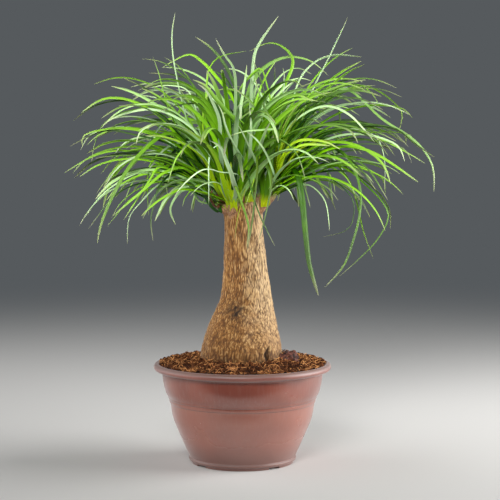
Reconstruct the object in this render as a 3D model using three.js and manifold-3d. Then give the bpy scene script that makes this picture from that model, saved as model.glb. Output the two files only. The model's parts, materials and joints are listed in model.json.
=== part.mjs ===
// A ponytail palm in a round plastic bowl, in millimetres, +Z up.
// The origin is the middle of the foot ring's underside. The plant is seen from -Y.
// The bowl holds the soil, the soil holds the swollen trunk, and four leafy heads
// have sprouted round the cut top of the trunk: left, front, right and back.

import * as THREE from "three";
import { mergeVertices } from "three/addons/utils/BufferGeometryUtils.js";
import Module from "manifold-3d";

const wasm = await Module();
wasm.setup();

// Driving dimensions

const RIM_RADIUS = 125;
const POT_HEIGHT = 141;
const TRUNK_TOP = 372;
const GAP = 0.35; // left between pieces that touch
const WALL_GAP = 0.5; // left between the soil and the slanting wall of the pot

const POT_SEGMENTS = 44;
const INSIDE_STEPS = 5;
const TRUNK_SEGMENTS = 32;
const SHOOT_SEGMENTS = 8;
const SPIRAL_RINGS = 5; // cross-sections of a leaf before its tip
const BROAD_LEAF = 8; // a single leaf wider than this gets more cross-sections

const PLASTIC = { color: 0x9a6c62, roughness: 0.38, metalness: 0 };
const SOIL = { color: 0x5a3420, roughness: 1, metalness: 0 };
const BARK = { color: 0xa98455, roughness: 0.9, metalness: 0 };
const LEAF = { color: 0x5f9a1c, roughness: 0.45, metalness: 0 };

// Small helpers

const radians = THREE.MathUtils.degToRad;
const mix = THREE.MathUtils.lerp;
const clamp = THREE.MathUtils.clamp;

function makeRandom(seed) {
  let state = seed;
  return () => {
    state = (state * 1664525 + 1013904223) % 4294967296;
    return state / 4294967296;
  };
}

// A closed geometry as a solid, with its faces turned outwards.
function solidOf(geometry) {
  const bare = geometry.clone();
  bare.deleteAttribute("normal");
  bare.deleteAttribute("uv");
  const merged = mergeVertices(bare, 1e-3);
  const triVerts = new Uint32Array(merged.index.array);
  const vertProperties = merged.attributes.position.array;
  const made = new wasm.Manifold(new wasm.Mesh({ numProp: 3, vertProperties, triVerts }));
  if (made.volume() >= 0) return made;
  for (let i = 0; i < triVerts.length; i += 3) {
    [triVerts[i + 1], triVerts[i + 2]] = [triVerts[i + 2], triVerts[i + 1]];
  }
  return new wasm.Manifold(new wasm.Mesh({ numProp: 3, vertProperties, triVerts }));
}

// The largest body of a solid. Hollows that fusing has sealed are filled and loose scraps dropped.
function wholeBody(solid) {
  return solid.decompose().sort((a, b) => b.volume() - a.volume())[0];
}

function meshOf(name, solid, finish) {
  const { numProp, numVert, vertProperties, triVerts } = solid.getMesh();
  const position = new Float32Array(numVert * 3);
  for (let i = 0; i < numVert; i += 1) {
    position.set(vertProperties.subarray(i * numProp, i * numProp + 3), i * 3);
  }
  const geometry = new THREE.BufferGeometry();
  geometry.setAttribute("position", new THREE.BufferAttribute(position, 3));
  geometry.setIndex(new THREE.BufferAttribute(triVerts, 1));
  geometry.computeVertexNormals();
  const mesh = new THREE.Mesh(geometry, new THREE.MeshStandardMaterial(finish));
  mesh.name = name;
  return mesh;
}

// A profile of [radius, height] turned about +Z. shape(x, y, z) may move each point.
function turned(profile, segments, shape = null) {
  const points = profile.map(([radius, height]) => new THREE.Vector2(radius, height));
  const geometry = new THREE.LatheGeometry(points, segments).rotateX(Math.PI / 2);
  if (shape) {
    const position = geometry.attributes.position;
    for (let i = 0; i < position.count; i += 1) {
      position.setXYZ(i, ...shape(position.getX(i), position.getY(i), position.getZ(i)));
    }
  }
  return solidOf(geometry);
}

// Points [radius, height] along a smooth line through the given ones.
function smooth(points, count) {
  const curve = new THREE.SplineCurve(points.map(([r, z]) => new THREE.Vector2(r, z)));
  return curve.getPoints(count).map(({ x, y }) => [x, y]);
}

// Pot: one moulded shell with a rolled lip, an upper band, a bead, a tapering body and a foot ring

const FLOOR_UNDERSIDE = 3.6;
const FLOOR_TOP = FLOOR_UNDERSIDE + 3;
const FLOOR_RADIUS = 67;
const FOOT_INNER = 63;
const FOOT_OUTER = 72;
const LIP_RADIUS = 5; // half the thickness of the rolled lip
const LIP_CENTRE = POT_HEIGHT - LIP_RADIUS;

const FOOT_LEDGE = [[73, 3.8], [75.9, 5.2], [76.2, 7.6]]; // rounded, a little proud of the body
const BODY_OUTSIDE = [[75.2, 9.4], [89.8, 43], [98.2, 64], [101.7, 84]];
const BEAD = [[102.8, 86], [103.8, 89], [104, 91.6]];
const BAND_OUTSIDE = [[104.8, 93.4], [108.6, 101], [111.6, 113], [113.4, 128.6]];
const BODY_INSIDE = [[111.8, 134], [108.9, 111], [99.6, 86], [87.3, 43], [71, 10]];

function lipArc() {
  const steps = 4;
  const centre = RIM_RADIUS - LIP_RADIUS;
  return Array.from({ length: steps + 1 }, (_, i) => {
    const angle = radians(mix(-75, 95, i / steps));
    return [centre + LIP_RADIUS * Math.cos(angle), LIP_CENTRE + LIP_RADIUS * Math.sin(angle)];
  });
}

function potProfile() {
  const recess = [[0, FLOOR_UNDERSIDE], [FOOT_INNER, FLOOR_UNDERSIDE]];
  const foot = [[FOOT_INNER + 0.6, 0], [FOOT_OUTER, 0], ...FOOT_LEDGE];
  const inside = [[RIM_RADIUS - 10.5, POT_HEIGHT - 1.6], ...smooth(BODY_INSIDE, INSIDE_STEPS)];
  return [
    ...recess,
    ...foot,
    ...smooth(BODY_OUTSIDE, 3),
    ...BEAD,
    ...smooth(BAND_OUTSIDE, 3),
    ...lipArc(),
    ...inside,
    [FLOOR_RADIUS, FLOOR_TOP],
    [0, FLOOR_TOP],
  ];
}

const FOOT_NOTCHES = { count: 4, first: -52, width: 19, height: 2.6, length: 24 };
const DRAIN_HOLES = { count: 6, first: 15, radius: 4.5, ring: 44, sides: 8 };

function makePot() {
  let pot = turned(potProfile(), POT_SEGMENTS);
  for (let i = 0; i < FOOT_NOTCHES.count; i += 1) {
    const { count, first, width, height, length } = FOOT_NOTCHES;
    const notch = new THREE.BoxGeometry(length, width, height * 2);
    notch.translate((FOOT_INNER + FOOT_OUTER) / 2, 0, 0);
    notch.rotateZ(radians(first + (i * 360) / count));
    pot = pot.subtract(solidOf(notch));
  }
  for (let i = 0; i < DRAIN_HOLES.count; i += 1) {
    const { count, first, radius, ring, sides } = DRAIN_HOLES;
    const hole = new THREE.CylinderGeometry(radius, radius, FLOOR_TOP * 2, sides);
    hole.rotateX(Math.PI / 2).translate(ring, 0, FLOOR_TOP);
    hole.rotateZ(radians(first + (i * 360) / count));
    pot = pot.subtract(solidOf(hole));
  }
  return meshOf("pot", pot, PLASTIC);
}

// Trunk: [height, radius, x of its middle], from the buried bulb to the cut top

const TRUNK_ROWS = [
  [104, 34, -1.4], [118, 50, -1.4], [132, 56, -1.4], [146, 57.4, -1.4], [156, 57, -1.3],
  [168, 55.4, -0.6], [186, 50.4, -0.4], [203, 44.5, 1], [218, 39.6, 3], [233, 35.6, 5],
  [250, 33.2, 5.6], [272, 30.6, 4.9], [296, 29, 3.5], [316, 27.4, 1.8], [338, 27, 1.1], [352, 27.4, 1],
];
const TRUNK_FOOT = 97;
const STUMP = [[25.5, TRUNK_TOP - 3], [14, TRUNK_TOP], [0, TRUNK_TOP + 1]];
const STUMP_START = 360; // the cut top tilts above this height
const STUMP_TILT = { height: 9, azimuth: 50 };
const BARK_START = 152; // the relief fades in above the soil
const BARK_FURROWS = { count: 8, depth: 0.7 };

function trunkMiddle(z) {
  const above = TRUNK_ROWS.findIndex(([height]) => height >= z);
  if (above < 1) return TRUNK_ROWS.at(above)[2];
  const [[low, , start], [high, , end]] = TRUNK_ROWS.slice(above - 1, above + 1);
  return mix(start, end, (z - low) / (high - low));
}

function barkRelief(angle, z) {
  const furrows = Math.sin(angle * BARK_FURROWS.count + 2.2 * Math.sin(z / 23));
  const swellings = 0.9 * Math.sin(2 * angle + z / 31) + 0.6 * Math.sin(3 * angle - z / 19);
  return (BARK_FURROWS.depth * furrows + swellings) * clamp((z - BARK_START) / 12, 0, 1);
}

// The trunk grown outwards by a clearance. With none, it is the trunk itself.
function trunkSolid(clearance = 0) {
  const rows = TRUNK_ROWS.map(([z, radius]) => [radius, z]);
  const profile = [[0, TRUNK_FOOT - clearance], ...rows, ...STUMP];
  const edge = STUMP[0][0];
  return turned(profile, TRUNK_SEGMENTS, (x, y, z) => {
    const angle = Math.atan2(y, x);
    const share = Math.min(1, Math.hypot(x, y) / edge);
    const grown = Math.hypot(x, y) + share * (clearance + barkRelief(angle, z));
    const tilt = STUMP_TILT.height * Math.cos(angle - radians(STUMP_TILT.azimuth)) * share;
    const lifted = z > STUMP_START ? z + tilt + clearance : z;
    return [trunkMiddle(z) + grown * Math.cos(angle), grown * Math.sin(angle), lifted];
  });
}

// Soil: fills the pot to just under its lip, heaped against the trunk, with a lump on the right

const SOIL_EDGE = POT_HEIGHT - 5;
const SOIL_HEAP = 147;
const HEAP_RADIUS = 58;
const HEAP_SLOPE = 50; // how far out the heap runs down
const SOIL_RINGS = [110, 101, 92, 83, 74, 65, 54];
const SOIL_LUMPS = [
  { x: 69, y: -8, radius: 13, height: 13 },
  { x: -78, y: 22, radius: 16, height: 4 },
  { x: 30, y: 82, radius: 18, height: 5 },
  { x: -20, y: -82, radius: 15, height: 3.5 },
  { x: 45, y: -70, radius: 12, height: 3 },
];

function soilHeight(x, y) {
  const reach = clamp((Math.hypot(x, y) - HEAP_RADIUS) / HEAP_SLOPE, 0, 1);
  const ripple = 1.1 * Math.sin(x / 6.1 + y / 9.3) + 0.9 * Math.sin(y / 5.3 - x / 8.7);
  const lumps = SOIL_LUMPS.reduce((sum, lump) => {
    const away = Math.hypot(x - lump.x, y - lump.y) / lump.radius;
    return sum + lump.height * Math.exp(-away * away * 1.6);
  }, 0);
  return mix(SOIL_HEAP, SOIL_EDGE, reach) + ripple + lumps;
}

function makeSoil(trunkGrown) {
  const floor = FLOOR_TOP + GAP;
  const wall = smooth(BODY_INSIDE, INSIDE_STEPS).map(([radius, z]) => [radius - WALL_GAP, z]);
  const top = SOIL_RINGS.map((radius) => [radius, SOIL_EDGE + 1]);
  const base = [[0, floor], [FLOOR_RADIUS - WALL_GAP, floor]];
  const profile = [...base, ...wall.reverse(), ...top, [0, SOIL_EDGE + 1]];
  const filled = turned(profile, POT_SEGMENTS, (x, y, z) =>
    z > SOIL_EDGE ? [x, y, soilHeight(x, y)] : [x, y, z],
  );
  return meshOf("soil", wholeBody(filled.subtract(trunkGrown)), SOIL);
}

// Leaf blades: each follows a route of points and has a flat top and a keel under its middle

const BLADE_THICKNESS = 0.7;

// Width along the blade, as a share of its widest, at s from 0 at the root to 1 at the tip.
const bladeWidth = (s) => (0.4 + 0.6 * Math.min(1, s / 0.3)) * (1 - 0.78 * s ** 1.7);

function bladeSolid(route, width, rings) {
  const curve = new THREE.CatmullRomCurve3(route);
  const side = new THREE.Vector3();
  const positions = [];
  for (let i = 0; i < rings; i += 1) {
    const s = i / rings;
    const point = curve.getPointAt(s);
    const tangent = curve.getTangentAt(s);
    if (i === 0) side.set(-tangent.y, tangent.x, 0).normalize();
    side.addScaledVector(tangent, -side.dot(tangent)).normalize();
    const under = new THREE.Vector3().crossVectors(tangent, side);
    const half = (width / 2) * bladeWidth(s);
    const keel = BLADE_THICKNESS + 0.2 * half;
    positions.push(
      point.clone().addScaledVector(side, half),
      point.clone().addScaledVector(side, -half),
      point.clone().addScaledVector(under, keel),
    );
  }
  const index = [0, 1, 2];
  for (let i = 0; i < rings - 1; i += 1) {
    for (let k = 0; k < 3; k += 1) {
      const a = i * 3 + k;
      const b = i * 3 + ((k + 1) % 3);
      index.push(a, a + 3, b, b, a + 3, b + 3);
    }
  }
  const tip = positions.length;
  positions.push(curve.getPointAt(1));
  for (let k = 0; k < 3; k += 1) index.push(tip - 3 + k, tip, tip - 3 + ((k + 1) % 3));
  const geometry = new THREE.BufferGeometry().setFromPoints(positions).setIndex(index);
  return solidOf(geometry);
}

// Heads: each is a short shoot with its leaves in a spiral. Its leaves keep to its own quarter
// of the crown, so that no leaf meets a neighbouring head. foot and crown are the shoot's ends.
// Each pair goes from the youngest leaf to the oldest, except radius, from foot to crown, and
// bend, its least and most. launch and bend are in degrees.

const QUARTER = 43.4; // degrees that a leaf may go round the trunk's axis from its head's azimuth
const GOLDEN_ANGLE = 137.508;
const LEAF_REACH = 236; // how far from the trunk's axis a leaf may go

const HEADS = [
  {
    name: "head_left",
    azimuth: 180,
    foot: [-16, -2, 352],
    crown: [-44, -4, 390],
    radius: [10, 14],
    seed: 11,
    leaves: 26,
    launch: [87, 34],
    length: [262, 212],
    bend: [80, 112],
  },
  {
    name: "head_front",
    azimuth: 270,
    foot: [-13, -20, 352],
    crown: [-13, -31, 388],
    radius: [7, 12],
    seed: 23,
    leaves: 20,
    launch: [88, 50],
    length: [275, 250],
    bend: [70, 108],
  },
  {
    name: "head_right",
    azimuth: 0,
    foot: [28, -4, 364],
    crown: [46, -6, 402],
    radius: [9, 15],
    seed: 37,
    leaves: 26,
    launch: [87, 34],
    length: [262, 212],
    bend: [80, 112],
  },
  {
    name: "head_back",
    azimuth: 90,
    foot: [7, 15, 370],
    crown: [8, 27, 406],
    radius: [9, 14],
    seed: 53,
    leaves: 35,
    launch: [88, 30],
    length: [262, 222],
    bend: [78, 110],
  },
];

// Brings a point, by no more than it needs, into the quarter of a head and within its reach.
function keepToQuarter(point, head) {
  const middle = radians(head.azimuth);
  const across = -point.x * Math.sin(middle) + point.y * Math.cos(middle);
  const along = point.x * Math.cos(middle) + point.y * Math.sin(middle);
  const limit = radians(QUARTER);
  const angle = middle + clamp(Math.atan2(across, along), -limit, limit);
  const radius = Math.min(Math.hypot(point.x, point.y), LEAF_REACH);
  return new THREE.Vector3(radius * Math.cos(angle), radius * Math.sin(angle), point.z);
}

// One leaf of a head's spiral, the youngest first: its route and its width.
function spiralLeaf(head, index, random) {
  const age = (index + 0.5) / head.leaves;
  const share = ((index * GOLDEN_ANGLE) % 360) / 180 - 1;
  const launch = mix(...head.launch, age ** 0.9) + 16 * (random() - 0.5);
  const length = mix(...head.length, age) * (0.82 + 0.3 * random());
  const bend = mix(...head.bend, random()) * mix(1.25, 0.9, age);
  const drift = 26 * (random() - 0.5);
  const stiffness = 1.1 + 0.8 * random();
  const width = mix(7, 10.5, Math.min(1, age * 2)) * (0.85 + 0.3 * random());

  const point = new THREE.Vector3(...head.crown).lerp(new THREE.Vector3(...head.foot), 0.1 + 0.5 * age);
  const aim = radians(head.azimuth + share * QUARTER);
  const target = new THREE.Vector3(LEAF_REACH * Math.cos(aim), LEAF_REACH * Math.sin(aim), 0);
  const azimuth = Math.atan2(target.y - point.y, target.x - point.x);

  const steps = 8;
  const route = [point.clone()];
  for (let i = 0; i < steps; i += 1) {
    const s = (i + 0.5) / steps;
    const pitch = radians(Math.max(-80, launch - bend * s ** stiffness));
    const yaw = azimuth + radians(drift) * s * s;
    point.x += (length / steps) * Math.cos(pitch) * Math.cos(yaw);
    point.y += (length / steps) * Math.cos(pitch) * Math.sin(yaw);
    point.z += (length / steps) * Math.sin(pitch);
    route.push(keepToQuarter(point, head));
  }
  return { route, width };
}

// Leaves that stand out of the mass, each by hand. points are [x, z] after the root, as seen from
// the front, and depth is the y of the tip.

const SINGLE_LEAVES = {
  head_left: [
    { width: 6, depth: -6, points: [[-62, 430], [-82, 490], [-96, 560], [-98, 600], [-93, 631]] },
    { width: 9, depth: 48, points: [[-56, 450], [-66, 520], [-90, 548], [-116, 564], [-142, 569]] },
    { width: 7, depth: -18, points: [[-52, 430], [-52, 490], [-50, 536], [-44, 558], [-28, 571], [6, 577]] },
    { width: 12, depth: 8, points: [[-50, 430], [-53, 480], [-50, 550]] },
    { width: 5, depth: 75, points: [[-56, 450], [-70, 529], [-97, 546], [-135, 550]] },
    { width: 5, depth: -24, points: [[-56, 440], [-72, 515], [-100, 529], [-128, 526]] },
    { width: 5, depth: -52, points: [[-62, 420], [-85, 460], [-103, 501], [-114, 545], [-122, 568]] },
    { width: 12, depth: -46, points: [[-68, 425], [-109, 480], [-150, 506], [-188, 510], [-220, 492]] },
    {
      width: 8,
      depth: 50,
      points: [[-68, 435], [-118, 491], [-160, 494], [-196, 477], [-211, 446], [-216, 417]],
    },
    { width: 8, depth: -88, points: [[-64, 410], [-96, 446], [-146, 461], [-186, 466], [-232, 446]] },
    { width: 9, depth: 82, points: [[-76, 402], [-119, 426], [-169, 438], [-214, 430], [-258, 406]] },
    {
      width: 7,
      depth: 116,
      points: [[-72, 420], [-114, 436], [-154, 430], [-184, 407], [-199, 378], [-206, 352]],
    },
    {
      width: 9,
      depth: -116,
      points: [[-62, 420], [-84, 456], [-108, 461], [-145, 427], [-170, 386], [-187, 346], [-193, 318]],
    },
    { width: 8, depth: -84, points: [[-74, 415], [-103, 412], [-136, 385], [-175, 352]] },
    { width: 5, depth: 54, points: [[-74, 398], [-110, 411], [-142, 410], [-169, 393]] },
    { width: 6, depth: -48, points: [[-78, 405], [-109, 397], [-140, 367], [-155, 346], [-158, 312]] },
    {
      width: 6,
      depth: -74,
      points: [[-66, 402], [-90, 412], [-112, 392], [-121, 364], [-124, 344], [-121, 318]],
    },
    { width: 6, depth: -8, points: [[-68, 420], [-102, 442], [-127, 420], [-132, 385], [-131, 349]] },
    { width: 5, depth: 88, points: [[-70, 415], [-92, 425], [-110, 400], [-109, 372]] },
    {
      width: 7,
      depth: -40,
      points: [[-54, 372], [-66, 385], [-82, 385], [-96, 369], [-99, 355], [-92, 338]],
    },
    { width: 4, depth: -46, points: [[-52, 392], [-62, 392], [-77, 377], [-82, 363]] },
  ],
  head_front: [
    { width: 5, depth: -55, points: [[-12, 450], [-9, 520], [-12, 552], [-24, 570], [-36, 592]] },
    { width: 9, depth: -58, points: [[-14, 430], [-22, 480], [-35, 525], [-48, 549]] },
    {
      width: 4,
      depth: -79,
      points: [[-16, 410], [-26, 445], [-40, 442], [-45, 425], [-45, 396], [-45, 366]],
    },
    {
      width: 6,
      depth: -87,
      points: [[-22, 410], [-31, 436], [-24, 426], [-10, 394], [2, 363], [9, 336], [6, 310]],
    },
    { width: 6, depth: -96, points: [[0, 420], [16, 440], [21, 416], [15, 374], [12, 340], [7, 306]] },
    { width: 4, depth: -90, points: [[-2, 405], [5, 414], [13, 384], [22, 358], [31, 338], [44, 312]] },
    { width: 8, depth: -93, points: [[12, 410], [31, 425], [40, 402], [38, 374], [30, 344], [22, 318]] },
    { width: 9, depth: -57, points: [[8, 388], [20, 409], [28, 420], [36, 414], [39, 398], [39, 378]] },
    { width: 8, depth: -120, points: [[-28, 430], [-58, 452], [-84, 434], [-98, 398]] },
    { width: 8, depth: -128, points: [[14, 430], [42, 456], [70, 438], [84, 402]] },
  ],
  head_right: [
    { width: 7, depth: 10, points: [[68, 440], [98, 520], [118, 561], [139, 606], [147, 625]] },
    { width: 8, depth: 35, points: [[60, 450], [77, 525], [96, 557], [126, 573], [168, 571]] },
    { width: 9, depth: -25, points: [[64, 440], [96, 510], [130, 543], [164, 563]] },
    {
      width: 9,
      depth: -30,
      points: [[66, 440], [105, 505], [143, 524], [192, 483], [238, 453], [262, 420], [265, 383]],
    },
    {
      width: 8,
      depth: -48,
      points: [[70, 420], [112, 462], [160, 473], [208, 470], [237, 449], [263, 431]],
    },
    { width: 9, depth: 22, points: [[72, 425], [115, 463], [151, 470], [206, 449], [258, 421]] },
    { width: 9, depth: -80, points: [[74, 410], [106, 438], [144, 446], [184, 434], [238, 398]] },
    {
      width: 5,
      depth: 113,
      points: [[66, 440], [112, 506], [164, 531], [199, 523], [229, 499], [233, 483], [228, 465]],
    },
    { width: 5, depth: -18, points: [[62, 445], [105, 508], [150, 531], [176, 522], [191, 500]] },
    {
      width: 13,
      depth: -70,
      points: [[58, 405], [68, 416], [77, 400], [83, 366], [87, 322], [92, 284], [104, 243]],
    },
    {
      width: 9,
      depth: -95,
      points: [[72, 420], [110, 447], [142, 432], [160, 390], [159, 354], [149, 316], [136, 284], [111, 256]],
    },
    {
      width: 8,
      depth: -46,
      points: [[76, 400], [127, 420], [170, 391], [197, 362], [199, 342], [179, 310], [134, 267]],
    },
    {
      width: 6,
      depth: 70,
      points: [[74, 402], [122, 425], [168, 400], [199, 374], [213, 348], [213, 326]],
    },
    {
      width: 5,
      depth: 108,
      points: [[70, 410], [113, 432], [148, 403], [165, 368], [177, 320], [192, 280]],
    },
    {
      width: 4,
      depth: 8,
      points: [[66, 392], [110, 405], [150, 375], [155, 342], [143, 326], [113, 318]],
    },
    { width: 6, depth: 38, points: [[62, 388], [86, 392], [106, 380], [119, 360], [124, 325]] },
    { width: 5, depth: -10, points: [[68, 430], [130, 468], [180, 462], [197, 430], [198, 384]] },
    { width: 10, depth: -26, points: [[52, 420], [60, 450], [72, 478]] },
    { width: 10, depth: -46, points: [[60, 418], [78, 440], [104, 452], [136, 452]] },
  ],
  head_back: [
    { width: 6, depth: 62, points: [[10, 440], [12, 500], [15, 560], [22, 588], [51, 630]] },
    { width: 6, depth: 96, points: [[28, 470], [58, 530], [72, 565], [62, 585], [39, 594], [10, 582]] },
    { width: 11, depth: 134, points: [[4, 440], [5, 500], [20, 547], [57, 573], [97, 570], [126, 548]] },
    { width: 6, depth: 126, points: [[-6, 500], [-38, 546], [-63, 571], [-82, 578], [-118, 560]] },
  ],
};

// A single leaf's route. It rises out of the shoot higher up, the steeper it starts.
function singleLeaf(head, { depth, points }) {
  const crown = new THREE.Vector3(...head.crown);
  const [firstX, firstZ] = points[0];
  const steepness = new THREE.Vector2(firstX - crown.x, firstZ - crown.z).normalize().y;
  const root = new THREE.Vector3(...head.foot).lerp(crown, clamp(0.55 + 0.5 * steepness, 0.4, 1));
  const rest = points.map(([x, z], i) => {
    const share = Math.sin((Math.PI / 2) * ((i + 1) / points.length));
    return new THREE.Vector3(x, mix(root.y, depth, share), z);
  });
  return [root, ...rest];
}

// The shoot itself: overlapping leaf bases, widest near the top
function shootSolid(head) {
  const foot = new THREE.Vector3(...head.foot);
  const crown = new THREE.Vector3(...head.crown);
  const length = foot.distanceTo(crown);
  const [low, high] = head.radius;
  const outline = [[0, 0], [low, 0], [mix(low, high, 0.6), 0.45], [high, 0.8], [high / 2, 1.05], [0, 1.1]];
  const points = outline.map(([radius, share]) => new THREE.Vector2(radius, share * length));
  const upright = new THREE.Vector3(0, 1, 0);
  const aim = new THREE.Quaternion().setFromUnitVectors(upright, crown.clone().sub(foot).normalize());
  const shoot = new THREE.LatheGeometry(points, SHOOT_SEGMENTS);
  return solidOf(shoot.applyQuaternion(aim).translate(foot.x, foot.y, foot.z));
}

function makeHead(head, trunkGrown) {
  const random = makeRandom(head.seed);
  const spiral = Array.from({ length: head.leaves }, (_, index) => {
    const { route, width } = spiralLeaf(head, index, random);
    return bladeSolid(route, width, SPIRAL_RINGS);
  });
  const singles = SINGLE_LEAVES[head.name].map((leaf) => {
    const extra = leaf.width > BROAD_LEAF ? 2 : 1;
    return bladeSolid(singleLeaf(head, leaf), leaf.width, leaf.points.length + extra);
  });
  const fused = wasm.Manifold.union([shootSolid(head), ...spiral, ...singles]).subtract(trunkGrown);
  return meshOf(head.name, wholeBody(fused.simplify(0.15)), LEAF);
}

// Assembly

const trunkGrown = trunkSolid(GAP);
const palm = new THREE.Group();
palm.add(makePot());
palm.add(makeSoil(trunkGrown));
palm.add(meshOf("trunk", trunkSolid(), BARK));
for (const head of HEADS) palm.add(makeHead(head, trunkGrown));

export default palm;
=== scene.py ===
# %% [markdown]
# # A ponytail palm in a plastic bowl
#
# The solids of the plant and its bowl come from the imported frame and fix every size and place.
# This script gives each of them its real surface: the moulded bowl, the crumbly soil, the
# corky trunk and the four heads of strap-like leaves. The sizes of the plant and its bowl are
# written in millimetres, and those of the studio in metres.

# %% The frame
import json
import math

import bmesh
import bpy
from mathutils import Matrix, Vector, noise

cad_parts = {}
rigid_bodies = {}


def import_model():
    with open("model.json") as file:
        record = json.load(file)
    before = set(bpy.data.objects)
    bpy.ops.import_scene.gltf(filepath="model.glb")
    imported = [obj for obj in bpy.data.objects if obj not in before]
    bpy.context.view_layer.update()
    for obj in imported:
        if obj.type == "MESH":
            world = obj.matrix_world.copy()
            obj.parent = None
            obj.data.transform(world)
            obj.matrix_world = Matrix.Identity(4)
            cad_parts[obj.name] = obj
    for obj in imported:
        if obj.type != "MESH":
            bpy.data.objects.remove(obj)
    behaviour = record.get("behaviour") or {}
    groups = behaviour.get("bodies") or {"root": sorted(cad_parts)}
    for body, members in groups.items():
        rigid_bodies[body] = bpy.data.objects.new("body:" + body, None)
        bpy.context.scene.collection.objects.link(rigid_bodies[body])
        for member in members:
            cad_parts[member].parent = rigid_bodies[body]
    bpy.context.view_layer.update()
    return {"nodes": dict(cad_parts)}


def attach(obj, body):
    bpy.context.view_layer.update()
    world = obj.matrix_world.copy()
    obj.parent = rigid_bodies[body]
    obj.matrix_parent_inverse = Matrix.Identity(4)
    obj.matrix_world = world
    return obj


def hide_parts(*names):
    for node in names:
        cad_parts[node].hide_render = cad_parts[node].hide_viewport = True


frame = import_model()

MM = 0.001
print("nodes:", sorted(frame["nodes"]))

# %% [markdown]
# ## Camera
#
# The photograph was taken from in front and a little above the rim of the bowl, so the soil
# shows as a thin ellipse. A long lens keeps the bowl's sides straight. The camera looks a
# little downwards, and needs no shift.

# %% Camera
CAMERA_PLACE = Vector((0.0107, -2.3, 0.470))
CAMERA_AIM = Vector((0.0107, 0.0, 0.300))
CAMERA_LENS_MM = 118.2
SENSOR_WIDTH_MM = 36


def face_towards(thing, target):
    """Turns a camera or a light so that it looks at a point."""
    direction = target - thing.location
    thing.rotation_euler = direction.to_track_quat("-Z", "Y").to_euler()


camera = bpy.data.objects.new("camera", bpy.data.cameras.new("camera"))
camera.data.lens = CAMERA_LENS_MM
camera.data.sensor_width = SENSOR_WIDTH_MM
camera.location = CAMERA_PLACE
face_towards(camera, CAMERA_AIM)
bpy.context.scene.collection.objects.link(camera)
bpy.context.scene.camera = camera
print("camera distance:", round((CAMERA_AIM - CAMERA_PLACE).length, 3), "m")

# %% [markdown]
# ## Helpers for materials and node trees
#
# Colours are read off a colour picker as sRGB hex codes, but shaders count in linear light, so
# one function converts them. Another adds a node, sets it up and links it in one call, which
# keeps the recipes below as short as the sentences that describe them.

# %% Node helpers


def linear(code):
    """An sRGB hex code as the linear RGBA that a shader takes, by the curve of the sRGB standard."""
    channels = [int(code[i:i + 2], 16) / 255 for i in (1, 3, 5)]
    lit = [c / 12.92 if c <= 0.04045 else ((c + 0.055) / 1.055) ** 2.4 for c in channels]
    return (*lit, 1.0)


def add_node(tree, kind, inputs=None, **settings):
    """Adds a node. An input is a value, a socket, or a node whose first live output is used."""
    node = tree.nodes.new(kind)
    for name, value in settings.items():
        setattr(node, name, value)
    for key, value in (inputs or {}).items():
        if isinstance(key, str):
            socket = next(s for s in node.inputs if s.enabled and s.name == key)
        else:
            socket = node.inputs[key]
        if isinstance(value, bpy.types.Node):
            value = next(s for s in value.outputs if s.enabled)
        if isinstance(value, bpy.types.NodeSocket):
            tree.links.new(value, socket)
        else:
            socket.default_value = value
    return node


def new_material(name):
    """A material with an empty tree, its main shader and its output."""
    material = bpy.data.materials.new(name)
    material.use_nodes = True
    tree = material.node_tree
    tree.nodes.clear()
    shader = tree.nodes.new("ShaderNodeBsdfPrincipled")
    add_node(tree, "ShaderNodeOutputMaterial", {"Surface": shader})
    return material, tree, shader


def new_growth(name, sizes):
    """A Geometry Nodes tree with one named input for each size, and its inputs by name."""
    tree = bpy.data.node_groups.new(name, "GeometryNodeTree")
    tree.interface.new_socket("Geometry", in_out="INPUT", socket_type="NodeSocketGeometry")
    for label, value in sizes.items():
        kind = "NodeSocketInt" if isinstance(value, int) else "NodeSocketFloat"
        tree.interface.new_socket(label, in_out="INPUT", socket_type=kind)
    tree.interface.new_socket("Geometry", in_out="OUTPUT", socket_type="NodeSocketGeometry")
    return tree, {socket.name: socket for socket in tree.nodes.new("NodeGroupInput").outputs}


def grow(piece, tree, sizes):
    """Runs a tree on a piece, and keeps the result as the piece's own plain mesh."""
    modifier = piece.modifiers.new(tree.name, "NODES")
    modifier.node_group = tree
    for socket in tree.interface.items_tree:
        if socket.in_out == "INPUT" and socket.name in sizes:
            modifier[socket.identifier] = sizes[socket.name]
    settle(piece)


def settle(piece):
    """Turns what a piece's modifiers make into its own plain mesh, and removes them."""
    depsgraph = bpy.context.evaluated_depsgraph_get()
    shown = piece.evaluated_get(depsgraph)
    mesh = bpy.data.meshes.new_from_object(shown, preserve_all_data_layers=True, depsgraph=depsgraph)
    piece.modifiers.clear()
    piece.data = mesh
    mesh.name = piece.name


def triangles(piece):
    return sum(len(polygon.vertices) - 2 for polygon in piece.data.polygons)


def new_piece(name, mesh):
    piece = bpy.data.objects.new(name, mesh)
    bpy.context.scene.collection.objects.link(piece)
    return piece


print("helpers ready")

# %% [markdown]
# ## Studio
#
# A plant like this is photographed between two tall diffusers, a strong one on the right and a
# weaker one on the left, with a small softbox in front that brightens little more than the crown.
# The floor is plain pale paper on a table. Far behind it melts into the sky, so no horizon cuts
# through the plant, and in front it rolls down over the table's edge. Beyond that edge the room
# is dim, and a glossy bowl mirrors that as the dark patch in the middle of its upper band.

# %% Floor, sky and lights
FLOOR_REACH_M = 9.0  # to each side and to the back
TABLE_FRONT_M = -0.25
ROLL_RADIUS_M = 0.03
ROLL_STEPS = 24
PAPER_DROP_M = 0.8
FLOOR_FADE_START_M = 0.5
FLOOR_FADE_END_M = 3.0
SKY = linear("#565a5d")


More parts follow.
